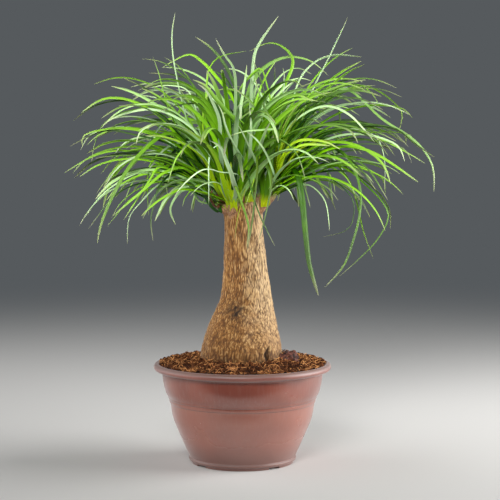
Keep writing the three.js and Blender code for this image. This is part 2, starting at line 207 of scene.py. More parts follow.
def paper_profile():
    """The paper seen from the side as [y, z]: level from the back, then over the edge and down."""
    profile = [(FLOOR_REACH_M, 0.0)]
    for k in range(ROLL_STEPS + 1):
        angle = math.pi / 2 * k / ROLL_STEPS
        profile.append((
            TABLE_FRONT_M - ROLL_RADIUS_M * math.sin(angle), ROLL_RADIUS_M * (math.cos(angle) - 1)))
    profile.append((TABLE_FRONT_M - ROLL_RADIUS_M, -PAPER_DROP_M))
    return profile


floor_mesh = bpy.data.meshes.new("floor")
sheet = paper_profile()
floor_mesh.from_pydata(
    [(x, y, z) for y, z in sheet for x in (-FLOOR_REACH_M, FLOOR_REACH_M)], [],
    [(2 * k, 2 * k + 2, 2 * k + 3, 2 * k + 1) for k in range(len(sheet) - 1)])
floor = new_piece("floor", floor_mesh)

paper, paper_tree, paper_shader = new_material("matt_studio_paper")
spot = add_node(paper_tree, "ShaderNodeTexCoord").outputs["Object"]
away = add_node(paper_tree, "ShaderNodeVectorMath", {0: spot}, operation="LENGTH").outputs["Value"]
# painted light: far from the plant the paper is darkened and glows with the sky's colour instead, so that
# it melts into the sky
fade = add_node(paper_tree, "ShaderNodeMapRange", {
    "Value": away, "From Min": FLOOR_FADE_START_M, "From Max": FLOOR_FADE_END_M},
    interpolation_type="SMOOTHSTEP")
faded = add_node(paper_tree, "ShaderNodeMix", {
    "Factor": fade, "A": linear("#cfcdca"), "B": (0.0, 0.0, 0.0, 1.0)}, data_type="RGBA")
paper_tree.links.new(faded.outputs[2], paper_shader.inputs["Base Color"])
paper_tree.links.new(fade.outputs[0], paper_shader.inputs["Emission Strength"])
paper_shader.inputs["Emission Color"].default_value = SKY
paper_shader.inputs["Roughness"].default_value = 0.9
paper_shader.inputs["Specular IOR Level"].default_value = 0.0
floor_mesh.materials.append(paper)

world = bpy.data.worlds.new("studio")
bpy.context.scene.world = world
world.use_nodes = True
sky = world.node_tree
sky.nodes.clear()
background = add_node(sky, "ShaderNodeBackground", {"Color": SKY})
add_node(sky, "ShaderNodeOutputWorld", {"Surface": background})

# aim is the height on the plant's axis that a light looks at, spread is in degrees
DIFFUSERS = {
    "diffuser_right": {
        "place": (1.45, 0.0, 0.62), "aim": 0.3, "size": (1.3, 1.1), "spread": 180, "power": 40},
    "diffuser_left": {
        "place": (-1.6, 0.1, 0.75), "aim": 0.3, "size": (2.5, 1.5), "spread": 180, "power": 25},
    "gridded_front": {
        "place": (-0.25, -1.4, 1.0), "aim": 0.48, "size": (0.8, 0.5), "spread": 42, "power": 2.7},
}

for name, box in DIFFUSERS.items():
    light = bpy.data.lights.new(name, "AREA")
    light.shape = "RECTANGLE"
    light.size, light.size_y = box["size"]
    light.spread = math.radians(box["spread"])
    light.energy = box["power"]
    lamp = bpy.data.objects.new(name, light)
    lamp.location = box["place"]
    face_towards(lamp, Vector((0, 0, box["aim"])))
    bpy.context.scene.collection.objects.link(lamp)

bpy.context.scene.view_settings.view_transform = "Standard"
print("lights:", ", ".join(DIFFUSERS))

# %% [markdown]
# ## Turned shapes
#
# The bowl, the soil and the trunk are all round about an upright axis, so one function turns a
# profile into a grid of faces. A second one draws a smooth line through a few measured points,
# so that a profile needs only the points that its shape asks for.

# %% Turned shapes


def mix(a, b, share):
    return a + (b - a) * share


def clamp(value, low, high):
    return min(max(value, low), high)


def smooth(points, count):
    """count + 1 points along a smooth line through the given ones (Catmull-Rom)."""
    last = len(points) - 1
    line = []
    for step in range(count + 1):
        place = last * step / count
        i = min(int(place), last - 1)
        t = place - i
        p0, p1, p2, p3 = (points[clamp(i + k, 0, last)] for k in (-1, 0, 1, 2))
        line.append(tuple(
            0.5 * (2 * b + (c - a) * t + (2 * a - 5 * b + 4 * c - d) * t * t
                   + (3 * b - a - 3 * c + d) * t ** 3)
            for a, b, c, d in zip(p0, p1, p2, p3)
        ))
    return line


CORNER_SHARE = 0.45  # the most of a side that the rounding of one corner takes


def rounded(points, radius, steps=3):
    """The same line with its inner corners rounded off."""
    line = [points[0]]
    for before, corner, after in zip(points, points[1:], points[2:]):
        corner = Vector(corner)
        back = Vector(before) - corner
        on = Vector(after) - corner
        start = corner + back * min(CORNER_SHARE, radius / back.length)
        end = corner + on * min(CORNER_SHARE, radius / on.length)
        for k in range(steps + 1):
            t = k / steps
            line.append(tuple(start.lerp(corner, t).lerp(corner.lerp(end, t), t)))
    line.append(points[-1])
    return line


def turn_rows(name, rows, segments, place):
    """A closed grid. place(row, angle) gives a point in millimetres. A row of radius 0 is a pole."""
    vertices = []
    rings = []
    for row in rows:
        if row[0] == 0:
            rings.append([len(vertices)] * segments)
            vertices.append(place(row, 0.0) * MM)
            continue
        rings.append(list(range(len(vertices), len(vertices) + segments)))
        vertices.extend(place(row, math.tau * k / segments) * MM for k in range(segments))
    faces = []
    for low, high in zip(rings, rings[1:]):
        for k in range(segments):
            n = (k + 1) % segments
            face = [low[k], low[n], high[n], high[k]]
            faces.append([v for i, v in enumerate(face) if v not in face[:i]])
    mesh = bpy.data.meshes.new(name)
    mesh.from_pydata(vertices, [], faces)
    mesh.shade_smooth()
    return mesh


def lathe_point(row, angle):
    return Vector((row[0] * math.cos(angle), row[0] * math.sin(angle), row[1]))


sample = smooth([(0, 0), (1, 2), (3, 3)], 4)
print("sample of a smooth line:", [tuple(round(c, 1) for c in point) for point in sample])

# %% [markdown]
# ## The bowl
#
# The bowl is one injection-moulded shell: a flat floor on a foot ring with a rounded ledge, a
# body that swells outwards, a bead with a fine groove at its lower and its upper edge, an upper
# band and a rolled lip. It could be built from rings and blended, but a profile turned round the
# axis gives every ring at once, in far finer steps than the solid has. The foot's notches and
# the drain holes are cut out of it with a Boolean modifier, as a mould's pins and slides do.

# %% Bowl profile
RIM_RADIUS = 125
POT_HEIGHT = 141
FLOOR_UNDERSIDE = 3.6
FLOOR_TOP = FLOOR_UNDERSIDE + 3
FLOOR_RADIUS = 67
FOOT_INNER = 63
FOOT_OUTER = 72
LIP_RADIUS = 5
LIP_CENTRE = POT_HEIGHT - LIP_RADIUS

FOOT_LEDGE = [(72.8, 3.4), (74.7, 4.2), (75.7, 5.4), (76, 6.8), (75.7, 8), (75, 8.8), (74.9, 9.6)]
BODY_OUTSIDE = [(75.4, 11), (79.4, 19.5), (89.8, 43), (98.2, 64), (101.7, 84)]
BEAD = [
    (102, 85.4), (102.7, 86), (103.2, 87.2), (103.6, 89.4), (103.7, 90.6), (103.8, 91.3), (104.5, 91.9),
    (104.9, 92.9)]
BEAD_GROOVES = (85.7, 91.6)
BAND_OUTSIDE = [(105, 94), (108.6, 101), (111.6, 113), (113.4, 128.6)]
UNDER_LIP = [(114.1, 130), (116.6, 130.7)]
LIP_INSIDE = (RIM_RADIUS - 10.5, POT_HEIGHT - 1.6)
BODY_INSIDE = [(111.8, 134), (108.9, 111), (99.6, 86), (87.3, 43), (71, 10)]
OUTSIDE = [(FOOT_LEDGE, 18), (BODY_OUTSIDE, 28), (BEAD, 18), (BAND_OUTSIDE, 18)]  # lines and steps
FOOT_EDGE = 0.7
FLOOR_EDGE = 1.5
LIP_FROM = -75  # degrees, measured from level and outwards
LIP_SWEEP = 170


def lip_arc(steps=14):
    centre = RIM_RADIUS - LIP_RADIUS
    angles = [math.radians(LIP_FROM + LIP_SWEEP * i / steps) for i in range(steps + 1)]
    return [(centre + LIP_RADIUS * math.cos(a), LIP_CENTRE + LIP_RADIUS * math.sin(a)) for a in angles]


def bowl_profile():
    """Points as [radius, height], from the middle of the underside, over the lip, to the floor."""
    recess = [(0, FLOOR_UNDERSIDE), (FOOT_INNER, FLOOR_UNDERSIDE)]
    foot = [(FOOT_INNER + 0.6, 0), (FOOT_OUTER, 0), (FOOT_OUTER + 0.5, 2.4)]
    under = rounded([*recess, *foot, FOOT_LEDGE[0]], FOOT_EDGE)
    outside = [point for line, steps in OUTSIDE for point in smooth(line, steps)]
    inside = rounded([*smooth(BODY_INSIDE, 24), (FLOOR_RADIUS, FLOOR_TOP), (0, FLOOR_TOP)], FLOOR_EDGE)
    return [*under[:-1], *outside, *UNDER_LIP, *lip_arc(), LIP_INSIDE, *inside]


BOWL_SEGMENTS = 240
bowl = new_piece("bowl_shell", turn_rows("bowl_shell", bowl_profile(), BOWL_SEGMENTS, lathe_point))
print("bowl:", triangles(bowl), "triangles before the cuts")

# %% Foot notches and drain holes
FOOT_NOTCHES = {"count": 4, "first": -52, "width": 19, "height": 2.6, "length": 24}
DRAIN_HOLES = {"count": 6, "first": 15, "radius": 4.5, "ring": 44, "sides": 28, "low": 0.5}
SHARPEST_SOFT = 38  # degrees: a sharper edge is shaded as an edge


def prism(outline, low, high):
    """Corners and faces of an upright prism over an outline of [x, y] points."""
    count = len(outline)
    corners = [(x, y, low) for x, y in outline] + [(x, y, high) for x, y in outline]
    sides = [(k, (k + 1) % count, count + (k + 1) % count, count + k) for k in range(count)]
    return corners, [tuple(reversed(range(count))), tuple(range(count, 2 * count)), *sides]


def round_the_axis(kit, outline, low, high):
    """Copies of a prism, evenly spaced round the upright axis."""
    vertices, faces = [], []
    for k in range(kit["count"]):
        turn = Matrix.Rotation(math.radians(kit["first"] + 360 * k / kit["count"]), 4, "Z")
        corners, sides = prism(outline, low, high)
        faces.extend(tuple(v + len(vertices) for v in side) for side in sides)
        vertices.extend(turn @ Vector(corner) * MM for corner in corners)
    return vertices, faces


def cut(piece, name, vertices, faces):
    """Cuts the solids of a mesh out of a piece."""
    mesh = bpy.data.meshes.new(name)
    mesh.from_pydata(vertices, [], faces)
    cutter = new_piece(name, mesh)
    boolean = piece.modifiers.new(name, "BOOLEAN")
    boolean.operation = "DIFFERENCE"
    boolean.solver = "EXACT"
    boolean.object = cutter
    settle(piece)
    bpy.data.objects.remove(cutter)


foot_middle = (FOOT_INNER + FOOT_OUTER) / 2
notch_near = foot_middle - FOOT_NOTCHES["length"] / 2
notch_far = foot_middle + FOOT_NOTCHES["length"] / 2
notch_side = FOOT_NOTCHES["width"] / 2
notch_outline = [
    (notch_near, -notch_side), (notch_far, -notch_side), (notch_far, notch_side), (notch_near, notch_side)]
notch_height = FOOT_NOTCHES["height"]
cut(bowl, "notches", *round_the_axis(FOOT_NOTCHES, notch_outline, -notch_height, notch_height))

hole_angles = [math.tau * k / DRAIN_HOLES["sides"] for k in range(DRAIN_HOLES["sides"])]
hole_radius = DRAIN_HOLES["radius"]
hole_outline = [
    (DRAIN_HOLES["ring"] + hole_radius * math.cos(a), hole_radius * math.sin(a)) for a in hole_angles]
cut(bowl, "holes", *round_the_axis(DRAIN_HOLES, hole_outline, DRAIN_HOLES["low"], FLOOR_TOP * 2))
bowl.data.shade_smooth()
bowl.data.set_sharp_from_angle(angle=math.radians(SHARPEST_SOFT))
print("bowl:", triangles(bowl), "triangles")

# %% [markdown]
# ## The bowl's plastic
#
# Garden bowls are moulded in polypropylene that is dyed through. The mould's fine matt texture
# makes a satin surface: broad soft highlights, but still a reflection of the soft boxes. Marks
# lie on it from the top down: soil dust lies on the lip, which hands have rubbed matt, the grooves
# of the bead are painted dark as shade, the body below the bead is painted paler and pinker as a
# painted reflection of the pale floor, and the body grows darker towards the foot. Each is one
# colour laid over the last by height or by slope, which keeps it in place on the shape. Cloudy
# patches and faint upright streaks break all of them up.

# %% Satin polypropylene
DARKER_BELOW = 46  # heights on the bowl: no darkening above the first, the most below the second
DARKEST_BELOW = 9
GROOVE_SHADE = {"wide": 1.0, "solid": 0.2}  # how far from the middle of a groove the painted shade reaches
RUBBED = {"from": BAND_OUTSIDE[-1][1] + 0.8, "full": BAND_OUTSIDE[-1][1] + 2.4}


def satin_polypropylene():
    """Dyed plastic under dust, painted shade in the grooves, a painted reflection below the bead and a
    darker foot, each laid over the last.
    """
    material, tree, shader = new_material("satin_polypropylene")
    place = add_node(tree, "ShaderNodeTexCoord").outputs["Object"]
    # clouds of handling marks about 45 mm across
    clouds = add_node(tree, "ShaderNodeTexNoise", {"Vector": place, "Scale": 22.0, "Detail": 4.0})
    # upright streaks, 3 mm wide and ten times as long
    drawn = add_node(tree, "ShaderNodeMapping", {"Vector": place, "Scale": (330.0, 330.0, 28.0)})
    streaks = add_node(tree, "ShaderNodeTexNoise", {"Vector": drawn, "Scale": 1.0, "Detail": 3.0})
    # the mould's texture, a grain of about 0.6 mm, drawn at 1.2 mm so that it shows
    grain = add_node(tree, "ShaderNodeTexNoise", {"Vector": place, "Scale": 850.0, "Detail": 2.0})

    dye = add_node(tree, "ShaderNodeMix", {
        "Factor": add_node(tree, "ShaderNodeMapRange", {
            "Value": clouds, "From Min": 0.35, "From Max": 0.65}),
        "A": linear("#7c3826"), "B": linear("#8c4430")}, data_type="RGBA")
    streaked = add_node(tree, "ShaderNodeMapRange", {
        "Value": streaks, "From Min": 0.5, "From Max": 0.8, "To Max": 0.28})
    # painted reflection: the body below the bead is painted paler and pinker, as the pale floor that it
    # mirrors
    height = add_node(tree, "ShaderNodeSeparateXYZ", {"Vector": place}).outputs["Z"]
    painted_floor_reflection = add_node(tree, "ShaderNodeMapRange", {
        "Value": height, "From Min": BEAD[-1][1] * MM, "From Max": BEAD[0][1] * MM, "To Max": 0.2})
    # painted shade darkens the two fine grooves of the bead
    groove_shades = []
    for groove in BEAD_GROOVES:
        offset = add_node(tree, "ShaderNodeMath", {0: height, 1: groove * MM}, operation="SUBTRACT")
        beside = add_node(tree, "ShaderNodeMath", {0: offset}, operation="ABSOLUTE")
        groove_shades.append(add_node(tree, "ShaderNodeMapRange", {
            "Value": beside, "From Min": GROOVE_SHADE["wide"] * MM, "From Max": GROOVE_SHADE["solid"] * MM,
            "To Max": 0.45}))
    # the bowl grows darker and rougher towards the foot
    darker_low = add_node(tree, "ShaderNodeMapRange", {
        "Value": height, "From Min": DARKER_BELOW * MM, "From Max": DARKEST_BELOW * MM, "To Max": 0.7},
        interpolation_type="SMOOTHSTEP")
    # dry soil dust lies on what faces up: the lip and the bead
    normal = add_node(tree, "ShaderNodeTexCoord").outputs["Normal"]
    upward = add_node(tree, "ShaderNodeSeparateXYZ", {"Vector": normal}).outputs["Z"]
    settled = add_node(tree, "ShaderNodeMapRange", {
        "Value": upward, "From Min": -0.05, "From Max": 0.45, "To Max": 0.75})
    layers = [(streaked, "#946a5e"), (painted_floor_reflection, "#c68a76"), *((groove_dark, "#33190f") for groove_dark in groove_shades),
              (darker_low, "#5a2b1b"), (settled, "#55290f")]
    layered_dye = dye
    for share, code in layers:
        layered_dye = add_node(tree, "ShaderNodeMix", {
            "Factor": share, "A": layered_dye, "B": linear(code)}, data_type="RGBA")
    tree.links.new(layered_dye.outputs[2], shader.inputs["Base Color"])

    worn = add_node(tree, "ShaderNodeMapRange", {
        "Value": clouds, "From Min": 0.3, "From Max": 0.7, "To Min": 0.2, "To Max": 0.28})
    # dust and the darker low body are rougher than the plastic
    rougher = add_node(tree, "ShaderNodeMath", {0: settled, 1: 0.25, 2: worn}, operation="MULTIPLY_ADD")
    # hands have rubbed the lip matt
    rubbed = add_node(tree, "ShaderNodeMapRange", {
        "Value": height, "From Min": RUBBED["from"] * MM, "From Max": RUBBED["full"] * MM, "To Max": 0.22})
    rubbed_or_darker_low = add_node(tree, "ShaderNodeMath", {
        0: darker_low, 1: 0.35, 2: rubbed}, operation="MULTIPLY_ADD")
    matt = add_node(tree, "ShaderNodeMath", {0: rougher, 1: rubbed_or_darker_low}, operation="ADD")
    tree.links.new(matt.outputs[0], shader.inputs["Roughness"])
    # above the 1.5 of plain polypropylene, because the real bowl mirrors the soft boxes strongly
    shader.inputs["IOR"].default_value = 1.7
    # a thin bloom of dust, seen at grazing angles
    shader.inputs["Sheen Weight"].default_value = 0.32
    shader.inputs["Sheen Roughness"].default_value = 0.42
    shader.inputs["Specular IOR Level"].default_value = 1.0
    bump = add_node(tree, "ShaderNodeBump", {"Height": grain, "Strength": 0.12, "Distance": 0.0004})
    tree.links.new(bump.outputs[0], shader.inputs["Normal"])
    return material


bowl.data.materials.clear()
bowl.data.materials.append(satin_polypropylene())
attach(bowl, "root")
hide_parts("pot")
print("bowl dressed")

# %% [markdown]
# ## The trunk
#
# A ponytail palm stores water in its swollen foot, and its trunk narrows upwards to the place
# where it was cut. It could be sculpted, but it is round enough to be turned from the same rows
# as the solid, with the solid's low furrows and swellings. Low on the right the bulb has grown
# round an old root, which leaves a crease.

# %% Trunk rows
TRUNK_ROWS = [
    (34, 104, -1.4), (50, 118, -1.4), (56, 132, -1.4), (57.4, 146, -1.4), (57, 156, -1.3),
    (55.4, 168, -0.6), (50.4, 186, -0.4), (44.5, 203, 1), (39.6, 218, 3), (35.6, 233, 5),
    (33.2, 250, 5.6), (30.6, 272, 4.9), (29, 296, 3.5), (27.4, 316, 1.8), (27, 338, 1.1),
    (27.4, 352, 1), (27, 362, 1),
]
FOOT_MIDDLE = TRUNK_ROWS[0][2]
BULB_RADIUS = 57
TRUNK_FOOT = 97
FOOT_TIP_RADIUS = 20
TRUNK_TOP = 372
STUMP = [(25.5, TRUNK_TOP - 3, 1), (23.6, TRUNK_TOP - 1, 1), (14, TRUNK_TOP, 1), (6, TRUNK_TOP + 0.8, 1)]
STUMP_START = 356
STUMP_TILT = {"height": 9, "azimuth": math.radians(50)}
BARK_START = 152
BARK_RISE = 12  # over this height the relief grows to its full depth
# count goes round the trunk; sway and climb say how far and how slowly a line wanders as it rises
BARK_FURROWS = {"count": 8, "depth": 0.7, "sway": 2.2, "climb": 23}
BARK_SWELLINGS = [{"count": 2, "depth": 0.9, "climb": 31}, {"count": 3, "depth": 0.6, "climb": -19}]
TRUNK_SEGMENTS = 340


def bark_relief(angle, z):
    """The same low swellings and furrows as the solid has."""
    sway = BARK_FURROWS["sway"] * math.sin(z / BARK_FURROWS["climb"])
    furrows = math.sin(angle * BARK_FURROWS["count"] + sway)
    swellings = sum(s["depth"] * math.sin(s["count"] * angle + z / s["climb"]) for s in BARK_SWELLINGS)
    return (BARK_FURROWS["depth"] * furrows + swellings) * clamp((z - BARK_START) / BARK_RISE, 0, 1)


def turned_from(azimuth, angle):
    """The angle from an azimuth, the short way round, below zero where it is clockwise."""
    return (angle - azimuth + math.pi) % math.tau - math.pi


CREASE = {
    "azimuth": math.radians(-50), "width": 3.4, "depth": 4.6, "low": 140, "high": 170,
    "sway": 2.2, "climb": 4, "ends": 0.7}


def crease_depth(angle, z, radius):
    sway = CREASE["sway"] * math.sin(z / CREASE["climb"])
    across = turned_from(CREASE["azimuth"], angle) * radius + sway
    along = (z - CREASE["low"]) / (CREASE["high"] - CREASE["low"])
    if not 0 < along < 1:
        return 0.0
    closing = math.sin(math.pi * along) ** CREASE["ends"]
    return CREASE["depth"] * math.exp(-(across / CREASE["width"]) ** 2) * closing


def trunk_point(row, angle):
    radius, z, middle = row
    share = min(1.0, radius / STUMP[0][0])
    grown = radius + share * bark_relief(angle, z) - crease_depth(angle, z, radius)
    start = clamp((z - STUMP_START) / (TRUNK_TOP - STUMP_START), 0, 1)
    lift = STUMP_TILT["height"] * math.cos(angle - STUMP_TILT["azimuth"]) * share * start
    return Vector((middle + grown * math.cos(angle), grown * math.sin(angle), z + lift))


stump_rows = smooth([TRUNK_ROWS[-1], *STUMP], 20)[1:]
buried_tip = [(0, TRUNK_FOOT, FOOT_MIDDLE), (FOOT_TIP_RADIUS, TRUNK_FOOT + 1, FOOT_MIDDLE)]
trunk_rows = [*buried_tip, *smooth(TRUNK_ROWS, 224), *stump_rows, (0, TRUNK_TOP + 1, STUMP[0][2])]
trunk = new_piece("trunk_bark", turn_rows("trunk_bark", trunk_rows, TRUNK_SEGMENTS, trunk_point))
print("trunk:", len(trunk_rows), "rows,", triangles(trunk), "triangles")

# %% [markdown]
# ### Marks on the bark
#
# The bark of a trunk that swells is stretched sideways, has a history, and isn't the same all
# round. Each point of the mesh is given a "grain" vector, its place on the bark as it grew, and
# three shares: paler on the side that the light falls on, a painted highlight; stained in a
# bruise on the front and where wet soil lies on the foot, and darker in the crease the deeper it
# is; and cut on the dry top. A painted picture would do the same, but a number on each point
# needs no picture and follows the shape.

# %% Grain of the bark
NECK_RADIUS = 28
SWELLING = 0.05  # how much wider the grain is on the bulb than on the neck
LAG = 2.4  # how far the grain runs down the bulb for each millimetre that it swells


def add_attribute(mesh, name, kind, values):
    """Writes one number or vector for each vertex of a mesh."""
    attribute = mesh.attributes.new(name, kind, "POINT")
    field = "vector" if kind == "FLOAT_VECTOR" else "value"
    flat = [part for value in values for part in value] if kind == "FLOAT_VECTOR" else list(values)
    attribute.data.foreach_set(field, flat)


def bark_grain(vertex):
    x, y, z = (c / MM for c in vertex.co)
    angle = math.atan2(y, x)
    radius = math.hypot(x, y)
    spread = NECK_RADIUS * (max(radius, 1) / NECK_RADIUS) ** (1 - SWELLING)
    run = z - LAG * max(0.0, radius - NECK_RADIUS)
    return (spread * math.cos(angle) * MM, spread * math.sin(angle) * MM, run * MM)


CUT = {"low": 362, "fade": 6, "radius": STUMP[0][0], "edge": 3, "middle": STUMP[0][2]}


def cut_share(vertex):
    """1 on the dry cut at the top of the trunk, 0 on the bark."""
    x, y, z = (c / MM for c in vertex.co)
    inwards = (CUT["radius"] - math.hypot(x - CUT["middle"], y)) / CUT["edge"]
    return clamp((z - CUT["low"]) / CUT["fade"], 0, 1) * clamp(inwards, 0, 1)


# The bruise is on the front, where the neck meets the bulb
BRUISE = {"middle": Vector((-10, -39, 219)), "radius": 13, "share": 1.5}
STAIN_GRAIN = {"size": 5, "mean": 0.5, "swing": 0.9}
WET_FOOT = {"top": 157, "ragged": 6, "fade": 12, "share": 0.55}
CREASE_DARKENING = 1.1


def stain_and_crease_share(vertex):
    """How dark a point is: stained in the bruise and where wet soil lies on the foot, and darker in the
    crease the deeper it is.
    """
    point = vertex.co / MM
    ragged = STAIN_GRAIN["mean"] + STAIN_GRAIN["swing"] * noise.noise(point / STAIN_GRAIN["size"])
    near = math.exp(-((point - BRUISE["middle"]).length / BRUISE["radius"]) ** 2)
    bruise = BRUISE["share"] * ragged * near
    # darker in the crease, the deeper it is
    angle = math.atan2(point.y, point.x - FOOT_MIDDLE)
    crease = min(1.0, crease_depth(angle, point.z, BULB_RADIUS) / CREASE["depth"] * CREASE_DARKENING)
    below = (WET_FOOT["top"] + WET_FOOT["ragged"] * ragged - point.z) / WET_FOOT["fade"]
    return clamp(max(bruise, crease, clamp(below, 0, 1) * WET_FOOT["share"]), 0, 1)


# Painted highlight: the side that the light falls on is painted paler, most on the neck and only a little
# on the bulb
LIT_SIDE = {
    "azimuth": math.radians(-28), "half_width": math.radians(58), "middle": 3, "low": 150, "high": 235,
    "edge": 1.25, "ragged": 0.5, "patch": 9, "least": 0.12}


def lit_side_share(vertex):
    point = vertex.co / MM
    turned = abs(turned_from(LIT_SIDE["azimuth"], math.atan2(point.y, point.x - LIT_SIDE["middle"])))
    ragged = LIT_SIDE["ragged"] * noise.noise(point / LIT_SIDE["patch"])
    beside = clamp(LIT_SIDE["edge"] - turned / LIT_SIDE["half_width"] + ragged, 0, 1)
    up = clamp((point.z - LIT_SIDE["low"]) / (LIT_SIDE["high"] - LIT_SIDE["low"]), 0, 1)
    return beside * mix(LIT_SIDE["least"], 1, up)


add_attribute(trunk.data, "grain", "FLOAT_VECTOR", [bark_grain(v) for v in trunk.data.vertices])
for name, share in (("lit_side", lit_side_share), ("stain_and_crease", stain_and_crease_share), ("cut", cut_share)):
    add_attribute(trunk.data, name, "FLOAT", [share(v) for v in trunk.data.vertices])
print("grain and three shares written on", len(trunk.data.vertices), "points")

# %% [markdown]
# ### Ridges and fissures
#
# As the trunk swells, its cork splits into long upright ridges, fine and straight on the neck
# and short and grainy on the bulb. Long wavy fissures part them, and finer breaks cross them.
# They could be bump in the material, but the outline of the trunk shows them, so they are real
# relief. They are drawn on the grain, so they follow the swelling, and the height of each point
# is kept for the colour, so dark always lies in the cracks: partly the dark of fresh cork and
# partly painted shade.

# %% Bark ridges
BARK_SIZES = {"Ridge width": 2.6 * MM, "Ridge length": 17.0 * MM, "Ridge height": 1.4 * MM}
SURFACE_LEVEL = 0.7  # share of the ridge height that lies below the trunk's own surface


def bark_tree():
    """Raises ridges along the grain, with fissures between them and breaks across them."""
    tree, given = new_growth("bark ridges", BARK_SIZES)
    grain = add_node(tree, "GeometryNodeInputNamedAttribute", {"Name": "grain"}, data_type="FLOAT_VECTOR")
    width = given["Ridge width"]
    stretch = add_node(tree, "ShaderNodeCombineXYZ", {
        "X": width, "Y": width, "Z": given["Ridge length"]})
    cells = add_node(tree, "ShaderNodeVectorMath", {0: grain, 1: stretch}, operation="DIVIDE")
    # the ridges wander by up to 0.8 of their own size
    wander = add_node(tree, "ShaderNodeTexNoise", {"Vector": cells, "Scale": 0.45, "Detail": 2.0})
    shifted = add_node(tree, "ShaderNodeVectorMath", {
        0: wander.outputs["Color"], 1: (0.5, 0.5, 0.5)}, operation="SUBTRACT")
    pushed = add_node(tree, "ShaderNodeVectorMath", {0: shifted, "Scale": 1.6}, operation="SCALE")
    place = add_node(tree, "ShaderNodeVectorMath", {0: cells, 1: pushed}, operation="ADD")
    # breaks: the edges of cells
    cracks = add_node(tree, "ShaderNodeTexVoronoi", {
        "Vector": place, "Scale": 1.0}, feature="DISTANCE_TO_EDGE")
    broken = add_node(tree, "ShaderNodeMapRange", {
        "Value": cracks.outputs["Distance"], "From Max": 0.16}, interpolation_type="SMOOTHSTEP")
    shallow = add_node(tree, "ShaderNodeMapRange", {"Value": broken, "To Min": 0.45})
    # fissures: the lines along which a noise has its middle value
    waves = add_node(tree, "ShaderNodeTexNoise", {"Vector": place, "Scale": 0.75, "Detail": 1.0})
    from_middle = add_node(tree, "ShaderNodeMath", {0: waves, 1: 0.5}, operation="SUBTRACT")
    from_wave = add_node(tree, "ShaderNodeMath", {0: from_middle}, operation="ABSOLUTE")
    fissured = add_node(tree, "ShaderNodeMapRange", {
        "Value": from_wave, "From Max": 0.1}, interpolation_type="SMOOTHSTEP")
    plateau = add_node(tree, "ShaderNodeMath", {0: fissured, 1: shallow}, operation="MULTIPLY")
    # the rough face of the cork
    rough = add_node(tree, "ShaderNodeTexNoise", {
        "Vector": cells, "Scale": 1.0, "Detail": 6.0, "Roughness": 0.7})
    ragged = add_node(tree, "ShaderNodeMapRange", {"Value": rough, "From Min": 0.3, "From Max": 0.7})
    ridge = add_node(tree, "ShaderNodeMix", {"Factor": 0.32, "A": plateau, "B": ragged})
    stored = add_node(tree, "GeometryNodeStoreNamedAttribute", {
        "Geometry": given["Geometry"], "Name": "ridge", "Value": ridge})
    raised = add_node(tree, "ShaderNodeMath", {0: ridge, 1: SURFACE_LEVEL}, operation="SUBTRACT")
    height = add_node(tree, "ShaderNodeMath", {
        0: raised, 1: given["Ridge height"]}, operation="MULTIPLY")
    normal = add_node(tree, "GeometryNodeInputNormal")
    offset = add_node(tree, "ShaderNodeVectorMath", {0: normal, "Scale": height}, operation="SCALE")
    moved = add_node(tree, "GeometryNodeSetPosition", {"Geometry": stored, "Offset": offset})
    realized = add_node(tree, "GeometryNodeRealizeInstances", {"Geometry": moved})
    add_node(tree, "NodeGroupOutput", {"Geometry": realized})
    return tree


grow(trunk, bark_tree(), BARK_SIZES)
print("bark:", triangles(trunk), "triangles, attributes", sorted(a.name for a in trunk.data.attributes))

# %% [markdown]
# ### The bark's cork
#
# Cork is matt and open-pored, so it has hardly any highlight. Its ridges are painted pale, partly
# weathered and partly a painted highlight on their crests, and the cracks between them the dark
# brown of fresh cork, darkened further as painted shade. The colour is laid on by the height
# of each point, with fine fibres mixed in that are too thin to be relief, and the marks that the
# points carry come last.

# %% Bark material


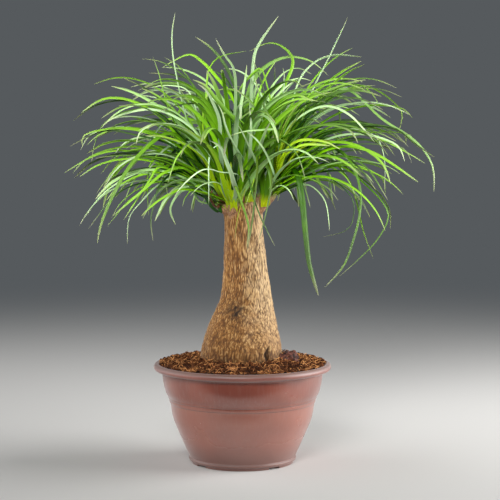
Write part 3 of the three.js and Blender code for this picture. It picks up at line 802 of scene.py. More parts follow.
def corky_bark():
    """Weathered cork: dark brown in its cracks, partly as painted shade, and straw coloured on its ridges,
    partly as a painted highlight.
    """
    material, tree, shader = new_material("corky_bark")
    place = add_node(tree, "ShaderNodeTexCoord").outputs["Object"]
    grain = add_node(tree, "ShaderNodeAttribute", attribute_name="grain").outputs["Vector"]
    ridge, cut_face, stain_and_crease, lit_side = (
        add_node(tree, "ShaderNodeAttribute", attribute_name=mark).outputs["Fac"]
        for mark in ("ridge", "cut", "stain_and_crease", "lit_side"))
    # fine fibres, 1 mm wide and 7 mm long
    fibre_place = add_node(tree, "ShaderNodeMapping", {"Vector": grain, "Scale": (1000.0, 1000.0, 150.0)})
    fibres = add_node(tree, "ShaderNodeTexNoise", {"Vector": fibre_place, "Scale": 1.0, "Detail": 4.0})
    # patches of weathering, 35 mm across
    patches = add_node(tree, "ShaderNodeTexNoise", {"Vector": place, "Scale": 30.0, "Detail": 5.0})

    height = add_node(tree, "ShaderNodeMix", {"Factor": 0.56, "A": ridge, "B": fibres})
    weathering = add_node(tree, "ShaderNodeMapRange", {
        "Value": patches, "From Min": 0.35, "From Max": 0.65})
    base = add_node(tree, "ShaderNodeMix", {
        "Factor": weathering, "A": linear("#7a4e21"), "B": linear("#976831")}, data_type="RGBA")
    # painted highlight: the side that the light falls on is painted paler
    light_base = add_node(tree, "ShaderNodeMix", {
        "Factor": lit_side, "A": base, "B": linear("#c0a278")}, data_type="RGBA")
    # the cracks are painted dark: the dark of fresh cork, and painted shade in the hollows
    in_cracks = add_node(tree, "ShaderNodeMapRange", {"Value": height, "From Min": 0.3, "From Max": 0.58})
    cracked = add_node(tree, "ShaderNodeMix", {
        "Factor": in_cracks, "A": linear("#4b2f19"), "B": light_base}, data_type="RGBA")
    # the crests are painted pale: weathering, and a painted highlight on the ridge tops
    on_top = add_node(tree, "ShaderNodeMapRange", {
        "Value": height, "From Min": 0.56, "From Max": 0.74, "To Max": 0.55})
    marked = cracked
    for share, code in ((on_top, "#dfbd84"), (stain_and_crease, "#2b1c10"), (cut_face, "#a27a58")):
        marked = add_node(tree, "ShaderNodeMix", {
            "Factor": share, "A": marked, "B": linear(code)}, data_type="RGBA")
    tree.links.new(marked.outputs[2], shader.inputs["Base Color"])
    shader.inputs["Roughness"].default_value = 0.72
    shader.inputs["Specular IOR Level"].default_value = 0.25
    # loose dry fibres catch the light at the trunk's edges
    shader.inputs["Sheen Weight"].default_value = 0.22
    shader.inputs["Sheen Roughness"].default_value = 0.3
    bump = add_node(tree, "ShaderNodeBump", {"Height": fibres, "Strength": 0.5, "Distance": 0.0006})
    tree.links.new(bump.outputs[0], shader.inputs["Normal"])
    return material


trunk.data.materials.clear()
trunk.data.materials.append(corky_bark())
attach(trunk, "root")
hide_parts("trunk")
print("trunk dressed")

# %% [markdown]
# ## The soil
#
# The bowl is filled with potting mix, heaped round the trunk and level with the lip further
# out, where some of it has spilt onto the lip's inner side. Its body is a closed ring round the
# trunk, turned like the bowl, with its top lifted by a rule: the heap, low waves and a few lumps.

# %% Soil body
GAP = 0.35  # between the soil and the trunk or the bowl's floor
WALL_GAP = 0.5
SOIL_EDGE = POT_HEIGHT - 2.5
SOIL_HEAP = 147
HEAP_RADIUS = 58
HEAP_SLOPE = 50
WALL_TOP = 134
SOIL_OUTER = 117
OVER_THE_LIP = [(RIM_RADIUS - 11, POT_HEIGHT - 1.4), (SOIL_OUTER, POT_HEIGHT - 0.2)]
SPILL_START = 109
SPILL_HEIGHT = POT_HEIGHT + 0.7
SOIL_WAVES = [{"height": 1.1, "x": 6.1, "y": 9.3}, {"height": 0.9, "x": -8.7, "y": 5.3}]
EDGE_CALM = 0.6  # share of the waves that is gone by the edge
LUMP_STEEPNESS = 1.6
TOP_ROWS = 30
HOLE_TOP = 144  # the wall of the trunk's hole ends here
TOP_FROM = 135  # every point of the body above this height is on its top
SOIL_LUMPS = [
    {"x": 69, "y": -8, "radius": 13, "height": 13},
    {"x": -78, "y": 22, "radius": 16, "height": 4},
    {"x": 30, "y": 82, "radius": 18, "height": 5},
    {"x": -20, "y": -82, "radius": 15, "height": 3.5},
    {"x": 45, "y": -70, "radius": 12, "height": 3},
]
SOIL_SEGMENTS = 216


def soil_height(x, y):
    reach = clamp((math.hypot(x, y) - HEAP_RADIUS) / HEAP_SLOPE, 0, 1)
    height = mix(SOIL_HEAP, SOIL_EDGE, reach)
    calm = 1 - EDGE_CALM * reach
    height += calm * sum(wave["height"] * math.sin(x / wave["x"] + y / wave["y"]) for wave in SOIL_WAVES)
    spill = clamp((math.hypot(x, y) - SPILL_START) / (SOIL_OUTER - SPILL_START), 0, 1)
    height += (SPILL_HEIGHT - SOIL_EDGE) * spill
    for lump in SOIL_LUMPS:
        away = math.hypot(x - lump["x"], y - lump["y"]) / lump["radius"]
        height += lump["height"] * math.exp(-away * away * LUMP_STEEPNESS)
    return height


def soil_rows():
    """Rows of [radius, height, x of the middle, 1 where the row is on the top]."""
    bottom = [(radius, FLOOR_TOP + GAP, 0, 0) for radius in (0, FLOOR_RADIUS - WALL_GAP)]
    wall = [(r - WALL_GAP, z, 0, 0) for r, z in reversed(smooth(BODY_INSIDE, 12)) if z <= WALL_TOP]
    over = [(r, z, 0, 0) for r, z in OVER_THE_LIP]
    inner = TRUNK_ROWS[3][0] + GAP
    top = []
    for step in range(TOP_ROWS + 1):
        share = step / TOP_ROWS
        top.append((SOIL_OUTER + (inner - SOIL_OUTER) * share, SOIL_EDGE, FOOT_MIDDLE * share, 1))
    hole = [(r + GAP, z, FOOT_MIDDLE, 0)
            for r, z, _ in reversed(smooth(TRUNK_ROWS[:4], 8)) if z < HOLE_TOP]
    under_trunk = [(radius, TRUNK_FOOT - GAP, FOOT_MIDDLE, 0) for radius in (FOOT_TIP_RADIUS, 0)]
    return [*bottom, *wall, *over, *top, *hole, *under_trunk]


def soil_point(row, angle):
    radius, z, middle, on_top = row
    x, y = middle + radius * math.cos(angle), radius * math.sin(angle)
    return Vector((x, y, soil_height(x, y) if on_top else z))


soil = new_piece("potting_mix", turn_rows("potting_mix", soil_rows(), SOIL_SEGMENTS, soil_point))
top_flags = [1.0 if v.co.z > TOP_FROM * MM else 0.0 for v in soil.data.vertices]
add_attribute(soil.data, "top", "FLOAT", top_flags)
print("soil body:", triangles(soil), "triangles,", int(sum(top_flags)), "points on its top")

# %% [markdown]
# ### Crumbs and fibres
#
# The mix is coir: coconut husk ground to crumbs, with many of its fibres left in. One tree
# roughens the top and scatters pitted crumbs and bent fibres over it. Near the rim the fibres
# lie flat and end at the lip. A scatter suits the mix better than a bumpy picture, because the
# fibres stand up, cast shadows and break the line of the rim.

# %% Crumbs and fibres
SOIL_SIZES = {
    "Roughness": 5.5 * MM, "Crumbs per square metre": 28000.0, "Crumb radius": 2.4 * MM,
    "Crumb pits": 4.2 * MM, "Fibres per square metre": 42000.0, "Fibre length": 15.0 * MM,
    "Fibre radius": 0.4 * MM, "Fibre bend": 14.0 * MM, "Seed": 7}
LYING = {"from": 92, "loose": 14, "flat": 2.2}  # how far out, and how high above the bowl


def soil_tree(material):
    """Roughens the top, and scatters crumbs and bent fibres over it."""
    tree, given = new_growth("crumbs and fibres", SOIL_SIZES)
    top = add_node(tree, "GeometryNodeInputNamedAttribute", {"Name": "top"})
    place = add_node(tree, "GeometryNodeInputPosition")
    coarse = add_node(tree, "ShaderNodeTexNoise", {
        "Vector": place, "Scale": 160.0, "Detail": 5.0, "Roughness": 0.65})
    rise = add_node(tree, "ShaderNodeMath", {0: coarse, 1: 0.5}, operation="SUBTRACT")
    scaled = add_node(tree, "ShaderNodeMath", {0: rise, 1: given["Roughness"]}, operation="MULTIPLY")
    only_top = add_node(tree, "ShaderNodeMath", {0: scaled, 1: top}, operation="MULTIPLY")
    upward = add_node(tree, "ShaderNodeCombineXYZ", {"Z": only_top})
    body = add_node(tree, "GeometryNodeSetPosition", {"Geometry": given["Geometry"], "Offset": upward})
    tinted = add_node(tree, "GeometryNodeStoreNamedAttribute", {
        "Geometry": body, "Name": "tint",
        "Value": add_node(tree, "ShaderNodeMapRange", {
            "Value": coarse, "From Min": 0.3, "From Max": 0.7, "To Max": 0.4})})

    # crumbs: small ico spheres, each squashed and turned its own way, then pitted by noise
    crumb_points = add_node(tree, "GeometryNodeDistributePointsOnFaces", {
        "Mesh": tinted, "Selection": top, "Density": given["Crumbs per square metre"],
        "Seed": given["Seed"]})
    ball = add_node(tree, "GeometryNodeMeshIcoSphere", {
        "Radius": given["Crumb radius"], "Subdivisions": 2})
    turn = add_node(tree, "FunctionNodeRandomValue", {
        "Max": (math.tau, math.tau, math.tau), "Seed": 11}, data_type="FLOAT_VECTOR")
    squash = add_node(tree, "FunctionNodeRandomValue", {
        "Min": (0.35, 0.35, 0.3), "Max": (1.5, 1.5, 1.1), "Seed": 12}, data_type="FLOAT_VECTOR")
    crumbs = add_node(tree, "GeometryNodeInstanceOnPoints", {
        "Points": crumb_points.outputs["Points"], "Instance": ball, "Rotation": turn, "Scale": squash})
    crumb_tint = add_node(tree, "FunctionNodeRandomValue", {"Max": 0.55, "Seed": 13})
    crumbs_tinted = add_node(tree, "GeometryNodeStoreNamedAttribute", {
        "Geometry": crumbs, "Name": "tint", "Value": crumb_tint}, domain="INSTANCE")
    crumbs_real = add_node(tree, "GeometryNodeRealizeInstances", {"Geometry": crumbs_tinted})
    pits = add_node(tree, "ShaderNodeTexNoise", {"Vector": place, "Scale": 520.0, "Detail": 2.0})
    pitted = add_node(tree, "ShaderNodeVectorMath", {
        0: pits.outputs["Color"], 1: (0.5, 0.5, 0.5)}, operation="SUBTRACT")
    pushed = add_node(tree, "ShaderNodeVectorMath", {
        0: pitted, "Scale": given["Crumb pits"]}, operation="SCALE")
    crumbs_done = add_node(tree, "GeometryNodeSetPosition", {"Geometry": crumbs_real, "Offset": pushed})

    # fibres: straight lines laid at random, then bent by noise and given a thin round section
    fibre_points = add_node(tree, "GeometryNodeDistributePointsOnFaces", {
        "Mesh": tinted, "Selection": top, "Density": given["Fibres per square metre"], "Seed": 21})
    half = add_node(tree, "ShaderNodeMath", {
        0: given["Fibre length"], 1: 0.5}, operation="MULTIPLY")
    minus = add_node(tree, "ShaderNodeMath", {0: half, 1: -1.0}, operation="MULTIPLY")
    line = add_node(tree, "GeometryNodeCurvePrimitiveLine", {
        "Start": add_node(tree, "ShaderNodeCombineXYZ", {"X": minus}),
        "End": add_node(tree, "ShaderNodeCombineXYZ", {"X": half})})
    stepped = add_node(tree, "GeometryNodeResampleCurve", {"Curve": line, "Count": 6})
    lean = add_node(tree, "FunctionNodeRandomValue", {
        "Min": (-0.5, -0.75, 0.0), "Max": (0.5, 0.75, math.tau), "Seed": 22}, data_type="FLOAT_VECTOR")
    stretch = add_node(tree, "FunctionNodeRandomValue", {"Min": 0.3, "Max": 1.4, "Seed": 23})
    fibres = add_node(tree, "GeometryNodeInstanceOnPoints", {
        "Points": fibre_points.outputs["Points"], "Instance": stepped, "Rotation": lean, "Scale": stretch})
    fibre_tint = add_node(tree, "FunctionNodeRandomValue", {"Min": 0.2, "Max": 1.0, "Seed": 24})
    fibres_tinted = add_node(tree, "GeometryNodeStoreNamedAttribute", {
        "Geometry": fibres, "Name": "tint", "Value": fibre_tint}, domain="INSTANCE")
    fibres_real = add_node(tree, "GeometryNodeRealizeInstances", {"Geometry": fibres_tinted})
    curl = add_node(tree, "ShaderNodeTexNoise", {"Vector": place, "Scale": 120.0, "Detail": 1.0})
    curled = add_node(tree, "ShaderNodeVectorMath", {
        0: curl.outputs["Color"], 1: (0.5, 0.5, 0.42)}, operation="SUBTRACT")
    bend = add_node(tree, "ShaderNodeVectorMath", {
        0: curled, "Scale": given["Fibre bend"]}, operation="SCALE")
    bent = add_node(tree, "GeometryNodeSetPosition", {"Geometry": fibres_real, "Offset": bend})
    # near the rim the fibres lie flat and end at the lip
    level = add_node(tree, "ShaderNodeVectorMath", {0: place, 1: (1.0, 1.0, 0.0)}, operation="MULTIPLY")
    reach = add_node(tree, "ShaderNodeVectorMath", {0: level}, operation="LENGTH").outputs["Value"]
    share = add_node(tree, "ShaderNodeMath", {0: SOIL_OUTER * MM, 1: reach}, operation="DIVIDE")
    at_most = add_node(tree, "ShaderNodeMath", {0: share, 1: 1.0}, operation="MINIMUM")
    kept = add_node(tree, "ShaderNodeSeparateXYZ", {
        "Vector": add_node(tree, "ShaderNodeVectorMath", {0: level, "Scale": at_most}, operation="SCALE")})
    ceiling = add_node(tree, "ShaderNodeMapRange", {
        "Value": reach, "From Min": LYING["from"] * MM, "From Max": SPILL_START * MM,
        "To Min": (POT_HEIGHT + LYING["loose"]) * MM, "To Max": (POT_HEIGHT + LYING["flat"]) * MM})
    lowered = add_node(tree, "ShaderNodeMath", {
        0: add_node(tree, "ShaderNodeSeparateXYZ", {"Vector": place}).outputs["Z"], 1: ceiling},
        operation="MINIMUM")
    laid = add_node(tree, "GeometryNodeSetPosition", {"Geometry": bent, "Position": add_node(
        tree, "ShaderNodeCombineXYZ", {"X": kept.outputs["X"], "Y": kept.outputs["Y"], "Z": lowered})})
    section = add_node(tree, "GeometryNodeCurvePrimitiveCircle", {
        "Resolution": 3, "Radius": given["Fibre radius"]})
    strands = add_node(tree, "GeometryNodeCurveToMesh", {
        "Curve": laid, "Profile Curve": section, "Fill Caps": True})

    joined = add_node(tree, "GeometryNodeJoinGeometry")
    for part in (tinted, crumbs_done, strands):
        tree.links.new(part.outputs[0], joined.inputs[0])
    real = add_node(tree, "GeometryNodeRealizeInstances", {"Geometry": joined})
    finished = add_node(tree, "GeometryNodeSetMaterial", {"Geometry": real, "Material": material})
    add_node(tree, "NodeGroupOutput", {"Geometry": finished})
    return tree


def coir_mix():
    """Ground coconut husk: matt and rough, near black where it is moist, tan in its fibres."""
    material, tree, shader = new_material("coir_potting_mix")
    place = add_node(tree, "ShaderNodeTexCoord").outputs["Object"]
    tint = add_node(tree, "ShaderNodeAttribute", attribute_name="tint").outputs["Fac"]
    # specks about 1.5 mm across
    specks = add_node(tree, "ShaderNodeTexNoise", {"Vector": place, "Scale": 640.0, "Detail": 4.0})
    speckled = add_node(tree, "ShaderNodeMath", {0: specks, 1: 0.5}, operation="SUBTRACT")
    # moist patches 18 mm across
    moist = add_node(tree, "ShaderNodeTexNoise", {"Vector": place, "Scale": 55.0, "Detail": 2.0})
    dryness = add_node(tree, "ShaderNodeMapRange", {
        "Value": moist, "From Min": 0.38, "From Max": 0.62, "To Min": 0.5, "To Max": 1.4})
    drier = add_node(tree, "ShaderNodeMath", {0: tint, 1: dryness}, operation="MULTIPLY")
    mixed = add_node(tree, "ShaderNodeMath", {0: speckled, 1: 0.9, 2: drier}, operation="MULTIPLY_ADD")
    lower = add_node(tree, "ShaderNodeMapRange", {"Value": mixed, "From Max": 0.5})
    upper = add_node(tree, "ShaderNodeMapRange", {"Value": mixed, "From Min": 0.5, "From Max": 1.0})
    dark = add_node(tree, "ShaderNodeMix", {
        "Factor": lower, "A": linear("#0b0502"), "B": linear("#6b3b1e")}, data_type="RGBA")
    tan = add_node(tree, "ShaderNodeMix", {
        "Factor": upper, "A": dark, "B": linear("#dfa063")}, data_type="RGBA")
    tree.links.new(tan.outputs[2], shader.inputs["Base Color"])
    shader.inputs["Roughness"].default_value = 0.85
    shader.inputs["Specular IOR Level"].default_value = 0.15
    return material


coir = coir_mix()
grow(soil, soil_tree(coir), SOIL_SIZES)
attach(soil, "root")
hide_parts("soil")
print("soil:", triangles(soil), "triangles")

# %% [markdown]
# ### A clod
#
# To the right of the trunk lies a red-brown lump of dried clay, some 30 mm wide. A lump has no
# profile to turn and no rule to follow, so a squashed ball of small triangles is pushed in and
# out by noise of three sizes, from its large bulges down to its crumbs.

# %% A clod
CLOD = {"middle": (65, -16, 146), "radii": (15, 11, 13)}
CLOD_LUMPS = [(0.34, 1.7), (0.2, 4.1), (0.07, 11)]  # height and fineness of each size of lump


def clod_mesh():
    ball = bmesh.new()
    bmesh.ops.create_icosphere(ball, subdivisions=6, radius=1)
    for vertex in ball.verts:
        way = vertex.co.copy()
        swell = 1
        for height, fineness in CLOD_LUMPS:
            swell += height * noise.noise(way * fineness)
        vertex.co = Vector(CLOD["middle"]) * MM + Vector(
            radius * MM * swell * part for radius, part in zip(CLOD["radii"], way))
    mesh = bpy.data.meshes.new("soil_clod")
    ball.to_mesh(mesh)
    ball.free()
    mesh.shade_smooth()
    return mesh


def dry_clay():
    """Red-brown clay with coir in it: painted shade darkens its pits, and a painted highlight makes its
    bumps pale and pinkish.
    """
    material, tree, shader = new_material("dried_clay_clod")
    place = add_node(tree, "ShaderNodeTexCoord").outputs["Object"]
    # crumbs about 5 mm across
    lumps = add_node(tree, "ShaderNodeTexNoise", {
        "Vector": place, "Scale": 190.0, "Detail": 5.0, "Roughness": 0.6})
    # the colour follows the lumps of the bump: painted shade in the pits, a painted highlight on the bumps
    mottled = add_node(tree, "ShaderNodeMix", {
        "Factor": add_node(tree, "ShaderNodeMapRange", {
            "Value": lumps, "From Min": 0.38, "From Max": 0.66}),
        "A": linear("#26100a"), "B": linear("#7d4535")}, data_type="RGBA")
    tree.links.new(mottled.outputs[2], shader.inputs["Base Color"])
    shader.inputs["Roughness"].default_value = 0.65
    bump = add_node(tree, "ShaderNodeBump", {"Height": lumps, "Strength": 0.9, "Distance": 0.0015})
    tree.links.new(bump.outputs[0], shader.inputs["Normal"])
    return material


clod = new_piece("soil_clod", clod_mesh())
clod.data.materials.append(dry_clay())
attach(clod, "root")
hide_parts("soil")
print("clod:", triangles(clod), "triangles")

# %% [markdown]
# ## The heads of leaves
#
# Each shoot round the cut top carries a spiral of strap leaves. Young ones stand in the middle,
# older ones lie lower and arch further out. A leaf is a path and a few numbers, so the paths
# are worked out here, by the rule that made the solids, and one by one where a leaf stands out of
# the mass. One tree then turns every path into a blade.

# %% Paths of the spiral leaves
QUARTER = 43.4  # degrees to each side of a head's azimuth that its own leaves may fill
GOLDEN_ANGLE = 137.508
LEAF_REACH = 236

# foot and crown are the ends of a shoot, and radius is how thick it is there. launch and length
# run from the youngest leaf to the oldest, and bend is the range of a draw.
HEADS = {
    "head_left": {
        "azimuth": 180, "foot": (-16, -2, 352), "crown": (-44, -4, 390), "radius": (10, 14),
        "seed": 11, "leaves": 26, "launch": (87, 34), "length": (262, 212), "bend": (80, 112)},
    "head_front": {
        "azimuth": 270, "foot": (-13, -20, 352), "crown": (-13, -31, 388), "radius": (7, 12),
        "seed": 23, "leaves": 20, "launch": (88, 50), "length": (275, 250), "bend": (70, 108)},
    "head_right": {
        "azimuth": 0, "foot": (28, -4, 364), "crown": (46, -6, 402), "radius": (9, 15),
        "seed": 37, "leaves": 26, "launch": (87, 34), "length": (262, 212), "bend": (80, 112)},
    "head_back": {
        "azimuth": 90, "foot": (7, 15, 370), "crown": (8, 27, 406), "radius": (9, 14),
        "seed": 53, "leaves": 35, "launch": (88, 30), "length": (262, 222), "bend": (78, 110)},
}


def make_random(seed):
    """A small random generator that gives the same numbers in any language."""
    state = seed

    def draw():
        nonlocal state
        state = (state * 1664525 + 1013904223) % 4294967296
        return state / 4294967296
    return draw


def keep_to_quarter(point, azimuth, quarter):
    """Brings a point, by no more than it needs, into a quarter of the crown and within reach."""
    middle = math.radians(azimuth)
    across = -point.x * math.sin(middle) + point.y * math.cos(middle)
    along = point.x * math.cos(middle) + point.y * math.sin(middle)
    limit = math.radians(quarter)
    angle = middle + clamp(math.atan2(across, along), -limit, limit)
    radius = min(math.hypot(point.x, point.y), LEAF_REACH)
    return Vector((radius * math.cos(angle), radius * math.sin(angle), point.z))


# Angles are in degrees. A pair is the range of a draw, or by age it goes from the youngest leaf
# to the oldest. root is a share of the shoot, from its crown down, and fall the steepest descent.
SPIRAL = {
    "steps": 8, "launch_ageing": 0.9, "launch": 16, "drift": 26, "fall": 80, "length": (0.82, 1.12),
    "stiffness": (1.1, 1.9), "width": (0.85, 1.15), "bend_by_age": (1.25, 0.9),
    "width_by_age": (7, 10.5), "root_by_age": (0.1, 0.6)}


def heading(pitch, yaw):
    return Vector((math.cos(pitch) * math.cos(yaw), math.cos(pitch) * math.sin(yaw), math.sin(pitch)))


def spiral_leaf(head, index, random):
    """One leaf of a head's spiral, the youngest first."""
    age = (index + 0.5) / head["leaves"]
    share = ((index * GOLDEN_ANGLE) % 360) / 180 - 1
    launch = mix(*head["launch"], age ** SPIRAL["launch_ageing"]) + SPIRAL["launch"] * (random() - 0.5)
    length = mix(*head["length"], age) * mix(*SPIRAL["length"], random())
    bend = mix(*head["bend"], random()) * mix(*SPIRAL["bend_by_age"], age)
    drift = SPIRAL["drift"] * (random() - 0.5)
    stiffness = mix(*SPIRAL["stiffness"], random())
    width = mix(*SPIRAL["width_by_age"], min(1, age * 2)) * mix(*SPIRAL["width"], random())

    point = Vector(head["crown"]).lerp(Vector(head["foot"]), mix(*SPIRAL["root_by_age"], age))
    aim = math.radians(head["azimuth"] + share * QUARTER)
    target = Vector((LEAF_REACH * math.cos(aim), LEAF_REACH * math.sin(aim), 0))
    azimuth = math.atan2(target.y - point.y, target.x - point.x)
    route = [point.copy()]
    for i in range(SPIRAL["steps"]):
        s = (i + 0.5) / SPIRAL["steps"]
        pitch = math.radians(max(-SPIRAL["fall"], launch - bend * s ** stiffness))
        yaw = azimuth + math.radians(drift) * s * s
        point += length / SPIRAL["steps"] * heading(pitch, yaw)
        route.append(keep_to_quarter(point, head["azimuth"], QUARTER))
    return {"route": route, "width": width, "age": age}


print("spiral leaves in the solids:", {name: head["leaves"] for name, head in HEADS.items()})

# %% [markdown]
# ### Single leaves
#
# The leaves that stand out of the mass give the crown its outline, and no rule would put them
# where they are, so each is drawn one by one: its points as [x, z] after the root, seen from the
# front, and the y of its tip as its depth. tone goes from a dark to a light green, pale leaves
# still have their wax, whose pale colour is also a painted highlight, young ones are yellow, and
# dry ones are what is left of old leaves at the foot of a shoot.

# %% Paths of the single leaves


def strap(width, depth, *points, **traits):
    """A leaf given one by one."""
    return {"width": width, "depth": depth, "points": points, **traits}


SINGLE_LEAVES = {
    "head_left": [
        strap(6, -6, (-62, 430), (-82, 490), (-96, 560), (-98, 600), (-93, 631), tone=0.3, pale=0.5),
        strap(9, 48, (-56, 450), (-66, 520), (-90, 548), (-116, 564), (-142, 569)),
        strap(7, -18, (-52, 430), (-52, 490), (-50, 536), (-44, 558), (-28, 571), (6, 577)),
        strap(12, 8, (-50, 430), (-53, 480), (-50, 550)),
        strap(5, 75, (-56, 450), (-70, 529), (-97, 546), (-135, 550)),
        strap(5, -24, (-56, 440), (-72, 515), (-100, 529), (-128, 526)),
        strap(5, -52, (-62, 420), (-85, 460), (-103, 501), (-114, 545), (-122, 568)),
        strap(12, -46, (-68, 425), (-109, 480), (-150, 506), (-188, 510), (-220, 492)),
        strap(8, 50, (-68, 435), (-118, 491), (-160, 494), (-196, 477), (-211, 446), (-216, 417)),
        strap(8, -88, (-64, 410), (-96, 446), (-146, 461), (-186, 466), (-232, 446)),
        strap(9, 82, (-76, 402), (-119, 426), (-169, 438), (-214, 430), (-258, 406)),
        strap(7, 116, (-72, 420), (-114, 436), (-154, 430), (-184, 407), (-199, 378), (-206, 352)),
        strap(9, -116, (-62, 420), (-84, 456), (-108, 461), (-145, 427), (-170, 386), (-187, 346),
            (-193, 318), tone=0.45),
        strap(8, -84, (-74, 415), (-103, 412), (-136, 385), (-175, 352)),
        strap(5, 54, (-74, 398), (-110, 411), (-142, 410), (-169, 393)),
        strap(6, -48, (-78, 405), (-109, 397), (-140, 367), (-155, 346), (-158, 312)),
        strap(6, -74, (-66, 402), (-90, 412), (-112, 392), (-121, 364), (-124, 344), (-121, 318)),
        strap(6, -8, (-68, 420), (-102, 442), (-127, 420), (-132, 385), (-131, 349)),
        strap(5, 88, (-70, 415), (-92, 425), (-110, 400), (-109, 372)),
        strap(7, -40, (-54, 372), (-66, 385), (-82, 385), (-96, 369), (-99, 355), (-92, 338)),
        strap(4, -46, (-52, 392), (-62, 392), (-77, 377), (-82, 363)),
    ],
    "head_front": [
        strap(5, -55, (-12, 450), (-9, 520), (-12, 552), (-24, 570), (-36, 592), tone=0.3, pale=0.3),
        strap(9, -58, (-14, 430), (-22, 480), (-35, 525), (-48, 549)),
        strap(4, -79, (-16, 410), (-26, 445), (-40, 442), (-45, 425), (-45, 396), (-45, 366), pale=0.9),
        strap(4.4, -87, (-22, 410), (-31, 436), (-24, 426), (-10, 394), (2, 363), (9, 336), (6, 310),
            tone=0.35, young=0.15, pale=0.0),
        strap(3.8, -96, (0, 420), (16, 440), (20, 416), (17, 374), (13, 340), (7, 306), tone=-0.1,
            young=0.12, pale=0.0),
        strap(2.8, -90, (-2, 405), (5, 414), (13, 384), (22, 358), (31, 338), (44, 312), tone=0.2),
        strap(5, -93, (12, 410), (31, 425), (39, 402), (36, 374), (29, 344), (22, 318), tone=-0.1,
            young=0.12, pale=0.0),
        strap(9, -57, (8, 388), (20, 409), (28, 420), (36, 414), (39, 398), (39, 378)),
        strap(8, -120, (-28, 430), (-58, 452), (-84, 434), (-98, 398)),
        strap(8, -128, (14, 430), (42, 456), (70, 438), (84, 402)),
    ],
    "head_right": [
        strap(7, 10, (68, 440), (98, 520), (118, 561), (139, 606), (147, 625), tone=0.3, pale=0.5),
        strap(8, 35, (60, 450), (77, 525), (96, 557), (126, 573), (168, 571)),
        strap(9, -25, (64, 440), (96, 510), (130, 543), (164, 563)),
        strap(9, -30, (66, 440), (105, 505), (143, 524), (192, 483), (238, 453), (262, 420), (265, 383),
            tone=0.45, pale=0.15),
        strap(8, -48, (70, 420), (112, 462), (160, 473), (208, 470), (237, 449), (263, 431)),
        strap(9, 22, (72, 425), (115, 463), (151, 470), (206, 449), (258, 421)),
        strap(9, -80, (74, 410), (106, 438), (144, 446), (184, 434), (238, 398)),
        strap(5, 113, (66, 440), (112, 506), (164, 531), (199, 523), (229, 499), (233, 483), (228, 465)),
        strap(5, -18, (62, 445), (105, 508), (150, 531), (176, 522), (191, 500)),
        strap(9.5, -70, (58, 405), (68, 416), (77, 400), (83, 366), (87, 322), (92, 284), (104, 243),
            tone=0.22, pale=0.0),
        strap(6.5, -95, (72, 420), (110, 447), (142, 432), (160, 390), (159, 354), (149, 316),
            (136, 284), (111, 256), tone=0.3),
        strap(6, -46, (76, 400), (127, 420), (170, 391), (197, 362), (199, 342), (179, 310), (134, 267),
            tone=0.35),
        strap(6, 70, (74, 402), (122, 425), (168, 400), (199, 374), (213, 348), (213, 326)),
        strap(5, 108, (70, 410), (113, 432), (148, 403), (165, 368), (177, 320), (192, 280)),
        strap(4, 8, (66, 392), (110, 405), (150, 375), (155, 342), (143, 326), (113, 318)),
        strap(6, 38, (62, 388), (86, 392), (106, 380), (119, 360), (124, 325)),
        strap(5, -10, (68, 430), (130, 468), (180, 462), (197, 430), (198, 384)),
        strap(10, -26, (52, 420), (60, 450), (72, 478), young=1.0),
        strap(10, -46, (60, 418), (78, 440), (104, 452), (136, 452), young=1.0),
    ],
    "head_back": [
        strap(6, 62, (10, 440), (12, 500), (15, 560), (22, 588), (51, 630), tone=0.2, pale=0.4),
        strap(6, 96, (28, 470), (58, 530), (72, 565), (62, 585), (39, 594), (10, 582)),
        strap(9, 134, (4, 440), (5, 500), (20, 547), (57, 573), (97, 570), (126, 548), tone=0.5,
            pale=0.12),
        strap(6, 126, (-6, 500), (-38, 546), (-63, 571), (-82, 578), (-118, 560)),
    ],
}


ROOT_RISE = {"level": 0.55, "more": 0.5, "least": 0.4}  # shares of the shoot's height


def single_leaf(head, leaf):
    """The path of a leaf drawn one by one. It leaves the shoot higher up, the steeper it starts."""
    crown, foot = Vector(head["crown"]), Vector(head["foot"])
    first_x, first_z = leaf["points"][0]
    steepness = Vector((first_x - crown.x, first_z - crown.z)).normalized().y
    rise = ROOT_RISE["level"] + ROOT_RISE["more"] * steepness
    root = foot.lerp(crown, clamp(rise, ROOT_RISE["least"], 1))
    if "root" in leaf:
        root = Vector(leaf["root"])
    route = [root]
    for i, (x, z) in enumerate(leaf["points"]):
        share = math.sin(math.pi / 2 * (i + 1) / len(leaf["points"]))
        route.append(Vector((x, mix(root.y, leaf["depth"], share), z)))
    return {**leaf, "route": route, "age": clamp(1 - steepness, 0, 1)}


print("single leaves:", {name: len(leaves) for name, leaves in SINGLE_LEAVES.items()})

# %% [markdown]
# ### Leaves in front
#
# These lie over the mass of the crown, nearer to the viewer, where distance moves a leaf in the
# picture. So they are drawn where the camera sees them: their points are [x, z] in the upright
# plane through the plant's axis, and each is then moved along its line of sight to its own depth.

